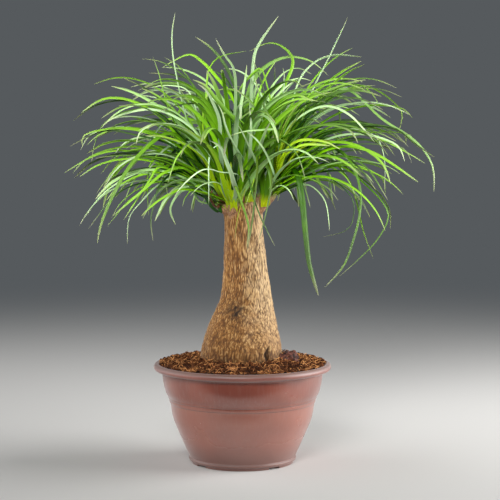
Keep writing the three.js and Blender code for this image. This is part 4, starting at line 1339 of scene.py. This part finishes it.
# %% Paths of the leaves in front
EYE = CAMERA_PLACE / MM
FRONT_LEAVES = {
    "head_left": [
        strap(10, -85, (-41, 401), (-52, 440), (-69, 467), (-90, 483), (-112, 493), (-133, 496),
            (-157, 492), (-178, 485), (-195, 475), tone=0.55),
        strap(8, -144, (-37, 384), (-48, 415), (-63, 434), (-80, 447), (-98, 455), (-118, 460),
            (-136, 460), tone=0.7, young=0.5),
        strap(7, -51, (-39, 405), (-49, 437), (-55, 464), (-55, 489), (-51, 511), (-42, 530), tone=0.7,
            young=0.4),
        strap(7, -34, (-42, 401), (-51, 426), (-56, 454), (-62, 479), (-73, 502), (-87, 517),
            (-104, 527), tone=0.5),
        strap(5, -110, (-38, 370), (-48, 384), (-59, 394), (-73, 397), (-86, 392), (-98, 384),
            (-105, 376), tone=0.3),
        strap(3.5, -119, (-20, 380), (-31, 391), (-42, 395), (-55, 392), (-65, 385), (-73, 376),
            pale=0.6),
        strap(8, -51, (-28, 355), (-41, 363), (-51, 376), (-60, 384), (-73, 388), (-90, 387),
            (-104, 378), tone=0.1),
        strap(7, -22, (-28, 366), (-34, 377), (-33, 388), (-29, 394), dry=1.0),
        strap(6, -26, (-32, 362), (-40, 368), (-44, 378), (-41, 385), dry=1.0),
        strap(6, -16, (-25, 364), (-29, 372), (-38, 377), (-44, 374), dry=1.0),
    ],
    "head_front": [
        strap(6.5, -150, (-20, 381), (-28, 409), (-38, 433), (-52, 451), (-70, 464), (-87, 472),
            tone=0.8, young=0.35),
        strap(6, -120, (-23, 387), (-27, 423), (-30, 454), (-32, 482), (-41, 506), (-51, 524),
            (-62, 532), tone=0.1),
        strap(6.5, -160, (-9, 384), (-12, 395), (-16, 409), (-23, 426), (-28, 440), (-35, 448),
            (-45, 453), pale=0.9),
        strap(4.5, -200, (-6, 404), (-17, 408), (-31, 409), (-46, 413), (-59, 411), (-73, 401),
            (-86, 388), (-95, 376), pale=0.8),
        strap(6, -30, (-6, 366), (-2, 374), (1, 382), dry=1.0),
        strap(2.2, -52, (5, 398), (0, 381), (-3, 364), (-6, 348), (-9, 331), (-11, 314), young=0.6,
            dry=0.35),
        strap(2.4, -62, (21, 433), (17, 415), (15, 398), (12, 384), (7, 370), (4, 360), tone=0.9,
            young=0.5),
        strap(8.5, -62, (-14, 366), (-20, 386), (-29, 410), (-42, 432), tone=0.8, young=0.9,
            root=(-12, -26, 354)),
        strap(7.5, -66, (-11, 370), (-14, 395), (-19, 424), (-28, 450), tone=0.8, young=0.7,
            root=(-11, -27, 356)),
        strap(7.5, -52, (-20, 368), (-31, 387), (-46, 403), (-64, 411), tone=0.7, young=0.6,
            root=(-14, -26, 356)),
        strap(7, -42, (6, 382), (6, 402), (4, 428), (-2, 452), tone=0.6, young=0.5, pale=0.15,
            root=(7, -18, 362)),
        strap(6.5, -44, (13, 384), (16, 408), (19, 434), (18, 460), tone=0.5, young=0.3, pale=0.1,
            root=(12, -18, 364)),
        strap(7, -38, (0, 380), (-3, 400), (-9, 424), tone=0.4, young=0.2, pale=0.2, root=(3, -20, 362)),
    ],
    "head_right": [
        strap(9, -133, (49, 409), (55, 426), (63, 440), (73, 450), (85, 454), (102, 454), (120, 450),
            (137, 441), young=0.85),
        strap(8.5, -114, (49, 415), (52, 433), (57, 451), (64, 467), (74, 481), (85, 492), young=0.85),
        strap(7.5, -152, (52, 412), (59, 429), (70, 440), (84, 447), (102, 448), (123, 446), young=0.75),
        strap(7, -86, (47, 419), (49, 440), (53, 457), (59, 474), (70, 493), (84, 510), young=0.5),
        strap(6.5, -95, (47, 419), (47, 443), (43, 465), (38, 485), (29, 504), (22, 524), (17, 544),
            tone=0.35),
        strap(6, -76, (47, 415), (43, 440), (36, 461), (28, 482), (14, 503), (1, 517), (-14, 527),
            tone=0.3),
        strap(3.5, -142, (45, 406), (40, 420), (33, 436), (24, 450), (14, 460), (4, 467), pale=0.8),
        strap(3.5, -133, (49, 426), (52, 454), (47, 468), (36, 469), (22, 468), (8, 467), (-6, 464),
            (-17, 460), tone=0.8, pale=0.4),
        strap(5.5, -162, (45, 401), (56, 415), (71, 426), (88, 430), (106, 429), (123, 422), pale=0.7),
        strap(5, -171, (43, 394), (57, 402), (71, 405), (88, 402), (106, 395), (123, 384), (134, 370),
            tone=0.4),
        strap(4, -114, (43, 387), (52, 391), (61, 388), (68, 380), (72, 370), pale=0.5),
        strap(8, -66, (50, 426), (57, 457), (68, 485), (85, 506), (106, 518), (130, 527), (154, 535),
            (172, 538), tone=0.5),
        strap(8, -28, (49, 429), (54, 465), (66, 496), (81, 516), (102, 530), (127, 538), (151, 539),
            (168, 535), tone=0.6),
        strap(7.5, -104, (50, 423), (57, 451), (68, 474), (87, 490), (109, 500), (130, 499), (151, 488),
            (168, 471), (185, 451), tone=0.5),
        strap(8, -114, (52, 419), (63, 443), (80, 461), (101, 472), (126, 476), (151, 473), (173, 465),
            (196, 451), tone=0.35),
        strap(7, -18, (36, 378), (40, 388), (47, 392), dry=1.0),
        strap(9, -40, (30, 384), (27, 405), (27, 419), (32, 423), (37, 415), (39, 395), (38, 375),
            tone=0.5, root=(31, -14, 361)),
        strap(9, -60, (36, 388), (39, 415), (41, 440), (43, 462), tone=0.4, root=(33, -14, 363)),
        strap(8, -30, (27, 388), (23, 412), (21, 438), (23, 462), (30, 482), tone=0.3,
            root=(29, -12, 362)),
        strap(8, -20, (22, 392), (17, 420), (14, 448), (6, 474), tone=0.25, root=(26, -6, 364)),
    ],
    "head_back": [
        strap(9, -114, (4, 412), (1, 447), (-6, 476), (-23, 495), (-39, 514), (-52, 530), (-69, 538),
            tone=0.55),
        strap(4.5, -162, (7, 412), (1, 427), (-9, 443), (-18, 460), (-24, 476), (-28, 492), (-34, 504),
            pale=0.8),
        strap(6, -133, (7, 401), (10, 423), (11, 443), (12, 464), (12, 482), (10, 499), pale=0.8),
        strap(5.5, -152, (19, 409), (17, 426), (10, 443), (4, 457), (-2, 469), (-9, 479), pale=0.9),
        strap(7, -124, (12, 412), (19, 427), (24, 443), (29, 457), (33, 468), (39, 479), tone=0.3,
            pale=0.35),
        strap(8, -38, (14, 426), (22, 461), (36, 492), (57, 511), (85, 517), (116, 517), (140, 513),
            (158, 502), tone=0.45),
        strap(7, 0, (4, 380), (2, 390), (6, 397), dry=1.0),
        strap(6, -2, (12, 378), (16, 388), (22, 392), dry=1.0),
    ],
}


def front_leaf(head, leaf):
    """A single leaf whose points are moved along the camera's lines of sight to their own depths."""
    flat = single_leaf(head, leaf)
    root, *points = flat["route"]
    moved = [
        EYE + (Vector((point.x, 0, point.z)) - EYE) * (point.y - EYE.y) / -EYE.y for point in points]
    return {**flat, "route": [root, *moved]}


print("leaves in front:", {name: len(leaves) for name, leaves in FRONT_LEAVES.items()})

# %% [markdown]
# ### Leaves that fill the crown
#
# The solids hold the leaves that give the crown its outline. A real crown is thicker and wilder,
# so each head gets more leaves, thinner ones, from other random draws. Young ones may lean any
# way, also across the crown, and old ones lie outwards. Some have been bent sharply once. Copies
# of a few leaves would be lighter, but the eye finds a repeated curve at once.

# %% Paths of the leaves that fill the crown
FILL = {
    "head_left": {"seed": 101, "leaves": 62},
    "head_front": {"seed": 131, "leaves": 56},
    "head_right": {"seed": 151, "leaves": 66},
    "head_back": {"seed": 173, "leaves": 62},
}
# no filling leaf hangs lower than this near the trunk and far out, past a distance
CROWN_LOW = {"near": 378, "far": 330, "distance": 200}
CROWN_HIGH = 622
VIEWER_GAP = 42  # no filling leaf leans towards the front closer than this many degrees
TRIES = 6
# As for the spiral, and spread_by_age is how far to each side of its head a leaf may lean. kinked
# is the share of leaves with a sharp bend, kink is how far along it lies and kink_drop its angle.
FILLING = {
    "steps": 9, "spread_by_age": (175, 62), "spread_ageing": 0.7, "launch_by_age": (84, 24),
    "launch_ageing": 1.1, "launch": 22, "length": (225, 235), "length_share": (0.62, 1.04),
    "drift": 95, "drift_growth": 1.6, "stiffness": (1.2, 2.4), "fall": (48, 80), "fall_favour": 2,
    "kinked": 0.14, "kink": (0.35, 0.75), "kink_drop": (35, 80), "bend": (50, 140),
    "bend_favour": 1.3, "width": (4.6, 8.2), "root_by_age": (0.05, 0.55)}
LIFTED = {"bend": 0.85, "kink_drop": 0.6, "least": 10}  # what each try to lift a leaf leaves of it


def filling_route(head, start, azimuth, draws, bend):
    """The path of one leaf that leaves the shoot at a point and bends down by a number of degrees."""
    point = start.copy()
    route = [point.copy()]
    for i in range(FILLING["steps"]):
        s = (i + 0.5) / FILLING["steps"]
        drop = bend * s ** draws["stiffness"] + (draws["kink_drop"] if s > draws["kink"] else 0)
        pitch = math.radians(max(-draws["fall"], draws["launch"] - drop))
        yaw = azimuth + math.radians(draws["drift"]) * s ** FILLING["drift_growth"]
        point += draws["length"] / FILLING["steps"] * heading(pitch, yaw)
        kept = keep_to_quarter(point, head["azimuth"], 180)
        kept.z = min(kept.z, CROWN_HIGH)
        route.append(kept)
    return route


def hangs_too_low(route):
    """True where a path, past its root, goes below the crown's lower margin."""
    for point in route[2:]:
        out = min(1, math.hypot(point.x, point.y) / CROWN_LOW["distance"])
        if point.z < mix(CROWN_LOW["near"], CROWN_LOW["far"], out):
            return True
    return False


# Windows in the crown, seen from the front, where no filling leaf passes in front of a depth
CLEARINGS = [
    {"x": (-50, 46), "z": (372, 478), "depth": -45},
    {"x": (44, 116), "z": (396, 476), "depth": -30},
    {"x": (-110, -44), "z": (392, 470), "depth": -70},
]


def stands_in_the_way(route):
    return any(w["x"][0] < point.x < w["x"][1] and w["z"][0] < point.z < w["z"][1] and point.y < w["depth"]
               for w in CLEARINGS for point in route)


def filling_leaf(head, index, random):
    """One leaf of the filling. A few are tried, until one stands in no clearing."""
    for _ in range(TRIES):
        leaf = filling_try(head, index, random)
        if not stands_in_the_way(leaf["route"]):
            break
    return leaf


def filling_try(head, index, random):
    """One leaf by lot. It is straightened, step by step, until it hangs high enough."""
    age = (index + 0.5) / head["leaves"]
    spread = mix(*FILLING["spread_by_age"], age ** FILLING["spread_ageing"])
    azimuth = math.radians(head["azimuth"] + spread * (2 * random() - 1))
    if math.sin(azimuth) < -math.cos(math.radians(VIEWER_GAP)):
        azimuth = -azimuth
    launch = mix(*FILLING["launch_by_age"], age ** FILLING["launch_ageing"])
    draws = {
        "launch": launch + FILLING["launch"] * (random() - 0.5),
        "length": mix(*FILLING["length"], random()) * mix(*FILLING["length_share"], random()),
        "drift": FILLING["drift"] * (random() - 0.5),
        "stiffness": mix(*FILLING["stiffness"], random()),
        "fall": mix(*FILLING["fall"], random() ** FILLING["fall_favour"]),
        "kink": mix(*FILLING["kink"], random()),
    }
    bend = mix(*FILLING["bend"], random() ** FILLING["bend_favour"])
    draws["kink_drop"] = mix(*FILLING["kink_drop"], random()) if random() < FILLING["kinked"] else 0
    width = mix(*FILLING["width"], random())

    start = Vector(head["crown"]).lerp(Vector(head["foot"]), mix(*FILLING["root_by_age"], age))
    route = filling_route(head, start, azimuth, draws, bend)
    while hangs_too_low(route) and bend > LIFTED["least"]:
        bend *= LIFTED["bend"]
        draws["kink_drop"] *= LIFTED["kink_drop"]
        route = filling_route(head, start, azimuth, draws, bend)
    return {"route": route, "width": width, "age": age}


print("filling leaves:", {name: fill["leaves"] for name, fill in FILL.items()})

# %% [markdown]
# ### Roots on the shoot
#
# Every leaf clasps its shoot: it starts on the shoot's surface, the older the further out, runs
# up along it, and only then leaves on its own way. One function gives that start to every path
# that doesn't name a root of its own.

# %% Roots on the shoot
ROOT_SHARE = 0.3  # how far out the root lies, as a share of how far out the leaf leaves the shoot
EASE_POINTS = 4  # how many points of a path share the step outwards from the shoot's axis
CLASP = (0.15, 0.95)  # how far out the youngest and the oldest leaf leave, in shoot radii
LEAST_LEAN = 1e-3  # a leaf that leans out less than this has no direction, and is given the front
SPIRAL_WIDTH = 0.78  # the folded blades look narrower than the solids' flat ones


def sheathed(leaf, head):
    """The route of a leaf, moved out from the shoot's axis at its start and given a root."""
    route = leaf["route"]
    foot, crown = Vector(head["foot"]), Vector(head["crown"])
    axis = (crown - foot).normalized()
    away = route[min(2, len(route) - 1)] - route[0]
    outward = away - axis * away.dot(axis)
    if outward.length < LEAST_LEAN:
        outward = Vector((0, -1, 0))
    outward.normalize()
    low, high = head["radius"]
    up = clamp((route[0] - foot).dot(axis) / (crown - foot).length, 0, 1)
    reach = mix(low, high, up) * mix(*CLASP, leaf["age"])
    eased = [point + outward * reach * max(0, 1 - i / EASE_POINTS) for i, point in enumerate(route)]
    root = foot + outward * reach * ROOT_SHARE
    return [root, *eased]


def leaves_of(name):
    """All leaves of a head: its spiral, those drawn by hand and its filling."""
    head = HEADS[name]
    random = make_random(head["seed"])
    leaves = [spiral_leaf(head, index, random) for index in range(head["leaves"])]
    for leaf in leaves:
        leaf["width"] *= SPIRAL_WIDTH
    leaves += [single_leaf(head, leaf) for leaf in SINGLE_LEAVES[name]]
    leaves += [front_leaf(head, leaf) for leaf in FRONT_LEAVES[name]]
    fuller = {**head, **FILL[name]}
    random = make_random(fuller["seed"])
    leaves += [filling_leaf(fuller, index, random) for index in range(fuller["leaves"])]
    for leaf in leaves:
        if "root" not in leaf:
            leaf["route"] = sheathed(leaf, head)
    return leaves


CROWN_LEAVES = {name: leaves_of(name) for name in HEADS}
print("leaves:", {name: len(leaves) for name, leaves in CROWN_LEAVES.items()})

# %% [markdown]
# ### Skeletons
#
# A head is first a skeleton of bare edges, one chain for each leaf, whose points carry the leaf's
# width, its traits and the way its flat side lies. A plain curve object can't carry such marks,
# but the points of a mesh can, and the blade tree turns each chain into a curve itself.

# %% Skeleton of a head
TWIST_MOST = 45  # degrees that a leaf may turn about itself by its tip
# the pale colour of wax is also a painted highlight: it stands in for the whitish glints of lit leaves
WAX_HIGHLIGHT_FROM = 0.86
WAX_HIGHLIGHT = {"least": 0.35, "more": 2.5, "worn": 0.03}


def leaf_sides(route, twist):
    """A level side vector at each point of a path, carried along it without turning, then twisted."""
    sides = []
    side = None
    for i, point in enumerate(route):
        tangent = (route[min(i + 1, len(route) - 1)] - route[max(i - 1, 0)]).normalized()
        if side is None:
            side = Vector((-tangent.y, tangent.x, 0))
        side = (side - tangent * side.dot(tangent)).normalized()
        share = i / (len(route) - 1)
        turn = Matrix.Rotation(math.radians(twist) * share * share, 3, tangent)
        sides.append(turn @ side)
    return sides


def wax_highlight(draw):
    """Most leaves have little wax left, and one in seven still has a pale bloom of it, whose pale colour
    is also a painted highlight.
    """
    return WAX_HIGHLIGHT["least"] + WAX_HIGHLIGHT["more"] * (draw - WAX_HIGHLIGHT_FROM) if draw > WAX_HIGHLIGHT_FROM else WAX_HIGHLIGHT["worn"] * draw


def head_skeleton(name, leaves, seed):
    """A mesh of bare edges, one chain for each leaf, with what the blades need on its points."""
    random = make_random(seed)
    points, edges, sides, alongs = [], [], [], []
    traits = {"half_width": [], "tone": [], "young": [], "pale": [], "dry": []}
    for leaf in leaves:
        route = leaf["route"]
        first = len(points)
        run = [0.0]
        for a, b in zip(route, route[1:]):
            run.append(run[-1] + (b - a).length)
        twist = TWIST_MOST * (2 * random() - 1)
        values = {
            "half_width": leaf["width"] / 2 * MM, "tone": leaf.get("tone", random()),
            "young": leaf.get("young", 0), "dry": leaf.get("dry", 0)}
        wax_highlight_draw = wax_highlight(random())
        values["pale"] = leaf.get("pale", 0 if "young" in leaf else wax_highlight_draw)
        points.extend(point * MM for point in route)
        edges.extend((first + i, first + i + 1) for i in range(len(route) - 1))
        sides.extend(leaf_sides(route, twist))
        alongs.extend(length / run[-1] for length in run)
        for trait, value in values.items():
            traits[trait].extend([value] * len(route))
    mesh = bpy.data.meshes.new(name)
    mesh.from_pydata(points, edges, [])
    add_attribute(mesh, "side", "FLOAT_VECTOR", sides)
    add_attribute(mesh, "along", "FLOAT", alongs)
    for trait, values in traits.items():
        add_attribute(mesh, trait, "FLOAT", values)
    return mesh


print("a twist of at most", TWIST_MOST, "degrees")

# %% [markdown]
# ### Blades
#
# A leaf of this palm is a thin strap with a shallow gutter on top and a keel below. It clasps
# the shoot with a broad base, narrows a little, is widest near a third of its length and then
# tapers to a fine tip. The tree sweeps that section along each path. Extruding flat cards
# would be quicker, but they vanish edge-on and have no gutter to catch the light.

# %% Blade tree
# Share of the full width, from the root to the tip
BLADE_OUTLINE = [
    (0.0, 0.85), (0.06, 0.85), (0.14, 0.62), (0.34, 0.72), (0.6, 0.62), (0.82, 0.48), (0.94, 0.3),
    (1.0, 0.05)]
WIDEST = 0.72  # the outline where the strap itself is widest, past its clasping base
# Keel depth and thickness are shares of half the leaf's width
BLADE_SIZES = {"Points along": 34, "Points round": 12, "Keel depth": 0.62, "Thickness": 0.1}


def blade_tree(material):
    """Sweeps a keeled section along every chain of edges."""
    tree, given = new_growth("leaf blades", BLADE_SIZES)
    curves = add_node(tree, "GeometryNodeMeshToCurve", {"Mesh": given["Geometry"]})
    rounded_curves = add_node(tree, "GeometryNodeCurveSplineType", {
        "Curve": curves}, spline_type="CATMULL_ROM")
    stepped = add_node(tree, "GeometryNodeResampleCurve", {
        "Curve": rounded_curves, "Count": given["Points along"]})
    side = add_node(tree, "GeometryNodeInputNamedAttribute", {"Name": "side"}, data_type="FLOAT_VECTOR")
    aimed = add_node(tree, "GeometryNodeSetCurveNormal", {"Curve": stepped, "Normal": side}, mode="FREE")
    along = add_node(tree, "GeometryNodeInputNamedAttribute", {"Name": "along"})
    outline = add_node(tree, "ShaderNodeFloatCurve", {"Value": along})
    curve = outline.mapping.curves[0]
    curve.points[0].location = BLADE_OUTLINE[0]
    curve.points[1].location = BLADE_OUTLINE[-1]
    for point in BLADE_OUTLINE[1:-1]:
        curve.points.new(*point)
    outline.mapping.update()
    half_width = add_node(tree, "GeometryNodeInputNamedAttribute", {"Name": "half_width"})
    wide = add_node(tree, "ShaderNodeMath", {0: half_width, 1: WIDEST}, operation="DIVIDE")
    radius = add_node(tree, "ShaderNodeMath", {0: outline, 1: wide}, operation="MULTIPLY")

    # the section: a circle pressed flat, with its middle let down into a keel
    circle = add_node(tree, "GeometryNodeCurvePrimitiveCircle", {
        "Resolution": given["Points round"], "Radius": 1.0})
    round_place = add_node(tree, "GeometryNodeInputPosition")
    round_parts = add_node(tree, "ShaderNodeSeparateXYZ", {"Vector": round_place})
    across = round_parts.outputs["X"]
    marked = add_node(tree, "GeometryNodeStoreNamedAttribute", {
        "Geometry": circle, "Name": "across", "Value": across})
    marked_twice = add_node(tree, "GeometryNodeStoreNamedAttribute", {
        "Geometry": marked, "Name": "under", "Value": round_parts.outputs["Y"]})
    away = add_node(tree, "ShaderNodeMath", {0: across}, operation="ABSOLUTE")
    inward = add_node(tree, "ShaderNodeMath", {0: 1.0, 1: away}, operation="SUBTRACT")
    keel = add_node(tree, "ShaderNodeMath", {0: inward, 1: given["Keel depth"]}, operation="MULTIPLY")
    section_y = add_node(tree, "ShaderNodeMath", {
        0: round_parts.outputs["Y"], 1: given["Thickness"], 2: keel}, operation="MULTIPLY_ADD")
    section_place = add_node(tree, "ShaderNodeCombineXYZ", {"X": across, "Y": section_y})
    section = add_node(tree, "GeometryNodeSetPosition", {
        "Geometry": marked_twice, "Position": section_place})

    blades = add_node(tree, "GeometryNodeCurveToMesh", {
        "Curve": aimed, "Profile Curve": section, "Scale": radius, "Fill Caps": True})
    smooth_blades = add_node(tree, "GeometryNodeSetShadeSmooth", {"Geometry": blades})
    real = add_node(tree, "GeometryNodeRealizeInstances", {"Geometry": smooth_blades})
    finished = add_node(tree, "GeometryNodeSetMaterial", {"Geometry": real, "Material": material})
    add_node(tree, "NodeGroupOutput", {"Geometry": finished})
    return tree


# %% [markdown]
# ### The leaves' green
#
# A strap leaf is smooth and leathery. It is yellow where it clasps the shoot, grass green along
# its length and lighter below, with fine veins. Its outer half is painted a little paler, partly
# faded by the sun and partly a painted highlight, and its tip is dry. Young leaves are yellower,
# most of all on their inner half, and of the others one in seven still has a pale bloom of wax,
# thinner towards its base, whose pale colour is also a painted highlight. One material serves
# them all, because every point carries its leaf's traits and its place along and across the leaf.

# %% Leaf material
VEIN_PHASE = 44.0  # radians from the middle of a leaf to its edge: 14 veins from edge to edge


def strap_leaf():
    """A leathery leaf whose colour follows the traits that its points carry."""
    material, tree, shader = new_material("waxy_strap_leaf")
    along, across, under, tone, young, pale, dry = (
        add_node(tree, "ShaderNodeAttribute", attribute_name=trait).outputs["Fac"]
        for trait in ("along", "across", "under", "tone", "young", "pale", "dry"))
    place = add_node(tree, "ShaderNodeTexCoord").outputs["Object"]
    # slow changes of green along a leaf, over about 40 mm
    drift = add_node(tree, "ShaderNodeTexNoise", {"Vector": place, "Scale": 25.0, "Detail": 3.0})

    lively = add_node(tree, "ShaderNodeMath", {0: drift, 1: 0.5, 2: tone}, operation="MULTIPLY_ADD")
    green = add_node(tree, "ShaderNodeMix", {
        "Factor": add_node(tree, "ShaderNodeMapRange", {
            "Value": lively, "From Min": 0.42, "From Max": 1.12}),
        "A": linear("#164600"), "B": linear("#7eba02")}, data_type="RGBA")
    yellow_left = add_node(tree, "ShaderNodeMapRange", {
        "Value": along, "From Min": 0.45, "From Max": 0.85, "To Min": 1.0, "To Max": 0.4})
    yellow_share = add_node(tree, "ShaderNodeMath", {0: young, 1: yellow_left}, operation="MULTIPLY")
    vivid = add_node(tree, "ShaderNodeMix", {
        "Factor": yellow_share, "A": green, "B": linear("#c2da14")}, data_type="RGBA")
    # a pale bloom of wax, thinner towards the base, whose pale colour is also a painted highlight
    wax_highlight_left = add_node(tree, "ShaderNodeMapRange", {
        "Value": along, "From Min": 0.1, "From Max": 0.5, "To Min": 0.5, "To Max": 1.0})
    wax_highlight_share = add_node(tree, "ShaderNodeMath", {0: pale, 1: wax_highlight_left}, operation="MULTIPLY")
    wax_highlighted = add_node(tree, "ShaderNodeMix", {
        "Factor": wax_highlight_share, "A": vivid, "B": linear("#d3f3be")}, data_type="RGBA")
    clasping = add_node(tree, "ShaderNodeMix", {
        "Factor": add_node(tree, "ShaderNodeMapRange", {
            "Value": along, "From Min": 0.17, "From Max": 0.03, "To Max": 0.85}),
        "A": wax_highlighted, "B": linear("#bdcb14")}, data_type="RGBA")
    below = add_node(tree, "ShaderNodeMix", {
        "Factor": add_node(tree, "ShaderNodeMapRange", {
            "Value": under, "From Min": -0.1, "From Max": 0.2, "To Max": 0.4}),
        "A": clasping, "B": add_node(tree, "ShaderNodeHueSaturation", {
            "Color": clasping, "Value": 1.25})}, data_type="RGBA")
    # the outer half of a leaf is painted a little paler, partly faded by the sun and partly a painted
    # highlight, and its tip has dried
    worn = below
    for low, high, share, code in ((0.5, 0.92, 0.13, "#cbc9a6"), (0.88, 1.0, 0.7, "#a3a280")):
        worn = add_node(tree, "ShaderNodeMix", {
            "Factor": add_node(tree, "ShaderNodeMapRange", {
                "Value": along, "From Min": low, "From Max": high, "To Max": share}),
            "A": worn, "B": linear(code)}, data_type="RGBA")
    phase = add_node(tree, "ShaderNodeMath", {0: across, 1: VEIN_PHASE}, operation="MULTIPLY")
    veins = add_node(tree, "ShaderNodeMath", {0: phase}, operation="SINE")
    veined = add_node(tree, "ShaderNodeMix", {
        "Factor": add_node(tree, "ShaderNodeMapRange", {
            "Value": veins, "From Min": -1.0, "From Max": 1.0, "To Max": 0.3}),
        "A": worn, "B": add_node(tree, "ShaderNodeHueSaturation", {
            "Color": worn, "Value": 1.35})}, data_type="RGBA")
    dried = add_node(tree, "ShaderNodeMix", {
        "Factor": dry, "A": veined, "B": linear("#6d4630")}, data_type="RGBA")
    tree.links.new(dried.outputs[2], shader.inputs["Base Color"])
    shader.inputs["Roughness"].default_value = 0.27
    shader.inputs["Specular IOR Level"].default_value = 0.15
    shader.inputs["Subsurface Weight"].default_value = 0.08
    shader.inputs["Subsurface Radius"].default_value = (0.6, 1.0, 0.1)
    shader.inputs["Subsurface Scale"].default_value = 0.001
    bump = add_node(tree, "ShaderNodeBump", {"Height": veins, "Strength": 0.25, "Distance": 0.0002})
    tree.links.new(bump.outputs[0], shader.inputs["Normal"])
    return material


leaf_material = strap_leaf()
blades = blade_tree(leaf_material)
print("leaf material:", leaf_material.name)

# %% Heads
FIRST_LEAF_SEED = 301
for number, (name, leaves) in enumerate(CROWN_LEAVES.items()):
    piece_name = name.replace("head", "leaves")
    piece = new_piece(piece_name, head_skeleton(piece_name, leaves, FIRST_LEAF_SEED + number))
    grow(piece, blades, BLADE_SIZES)
    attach(piece, "root")
    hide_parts(name)
    print(piece_name, triangles(piece), "triangles")

# %% [markdown]
# ### Shoots
#
# Under the leaves each shoot is a short stem. The bases of its fallen leaves dry on it in brown
# fibrous rings, and higher up the living ones turn it green. It is a turned shape again, laid
# along the shoot's own axis and wrinkled by noise, and it closes the gaps between the leaves.

# %% Shoots
SHOOT_SEGMENTS = 48
SHOOT_BURIED = 12  # how far a shoot reaches down into the trunk
SHOOT_RINGS = {"height": 0.6, "density": 1.9, "sway": 0.8, "lobes": 3}  # density in radians per mm
SHOOT_WRINKLE = {"height": 1.6, "round": 3, "length": 5}
ALIVE = {"from": 0.25, "over": 0.35}  # shares of the shoot's height


def shoot_mesh(name, head):
    foot, crown = Vector(head["foot"]), Vector(head["crown"])
    axis = (crown - foot).normalized()
    length = (crown - foot).length
    across = axis.orthogonal().normalized()
    beyond = axis.cross(across)
    low, high = head["radius"]
    profile = smooth([(0.55 * low, -SHOOT_BURIED), (0.85 * low, 0), (0.8 * high, 0.45 * length),
                      (0.6 * high, 0.8 * length), (0.25 * high, length)], 40)
    rows = [(0, -SHOOT_BURIED - 1), *profile, (0, length + 1)]

    def place(row, angle):
        radius, up = row
        sway = SHOOT_RINGS["sway"] * math.sin(SHOOT_RINGS["lobes"] * angle)
        rings = 0.5 + 0.5 * math.sin(up * SHOOT_RINGS["density"] + sway)
        turn = SHOOT_WRINKLE["round"]
        wrinkle = noise.noise(Vector((
            turn * math.cos(angle), turn * math.sin(angle), up / SHOOT_WRINKLE["length"] + foot.x)))
        relief = SHOOT_WRINKLE["height"] * wrinkle + SHOOT_RINGS["height"] * rings
        grown = radius + min(1, radius / low) * relief
        return foot + axis * up + across * grown * math.cos(angle) + beyond * grown * math.sin(angle)

    return turn_rows(name, rows, SHOOT_SEGMENTS, place)


def shoot_skin():
    """Dry brown leaf bases below and living green ones above, the dry ones drawn out in fibres."""
    material, tree, shader = new_material("leaf_base_fibres")
    place = add_node(tree, "ShaderNodeTexCoord").outputs["Object"]
    # fibres 1.5 mm wide and 8 mm long
    drawn = add_node(tree, "ShaderNodeMapping", {"Vector": place, "Scale": (650.0, 650.0, 120.0)})
    fibres = add_node(tree, "ShaderNodeTexNoise", {"Vector": drawn, "Scale": 1.0, "Detail": 4.0})
    brown = add_node(tree, "ShaderNodeMix", {
        "Factor": add_node(tree, "ShaderNodeMapRange", {
            "Value": fibres, "From Min": 0.35, "From Max": 0.65}),
        "A": linear("#6a4530"), "B": linear("#b58a62")}, data_type="RGBA")
    alive = add_node(tree, "ShaderNodeMix", {
        "Factor": add_node(tree, "ShaderNodeAttribute", attribute_name="alive").outputs["Fac"],
        "A": brown, "B": linear("#5d7f16")}, data_type="RGBA")
    tree.links.new(alive.outputs[2], shader.inputs["Base Color"])
    shader.inputs["Roughness"].default_value = 0.7
    return material


fibrous = shoot_skin()
for name, head in HEADS.items():
    piece_name = name.replace("head", "shoot")
    stem = new_piece(piece_name, shoot_mesh(piece_name, head))
    foot, crown = Vector(head["foot"]) * MM, Vector(head["crown"]) * MM
    axis = crown - foot
    up = [(v.co - foot).dot(axis) / axis.length_squared for v in stem.data.vertices]
    alive = [clamp((share - ALIVE["from"]) / ALIVE["over"], 0, 1) for share in up]
    add_attribute(stem.data, "alive", "FLOAT", alive)
    stem.data.materials.append(fibrous)
    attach(stem, "root")
    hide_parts(name)
print("shoots:", len(HEADS))

# %% The dressed plant
print("the plant is dressed")
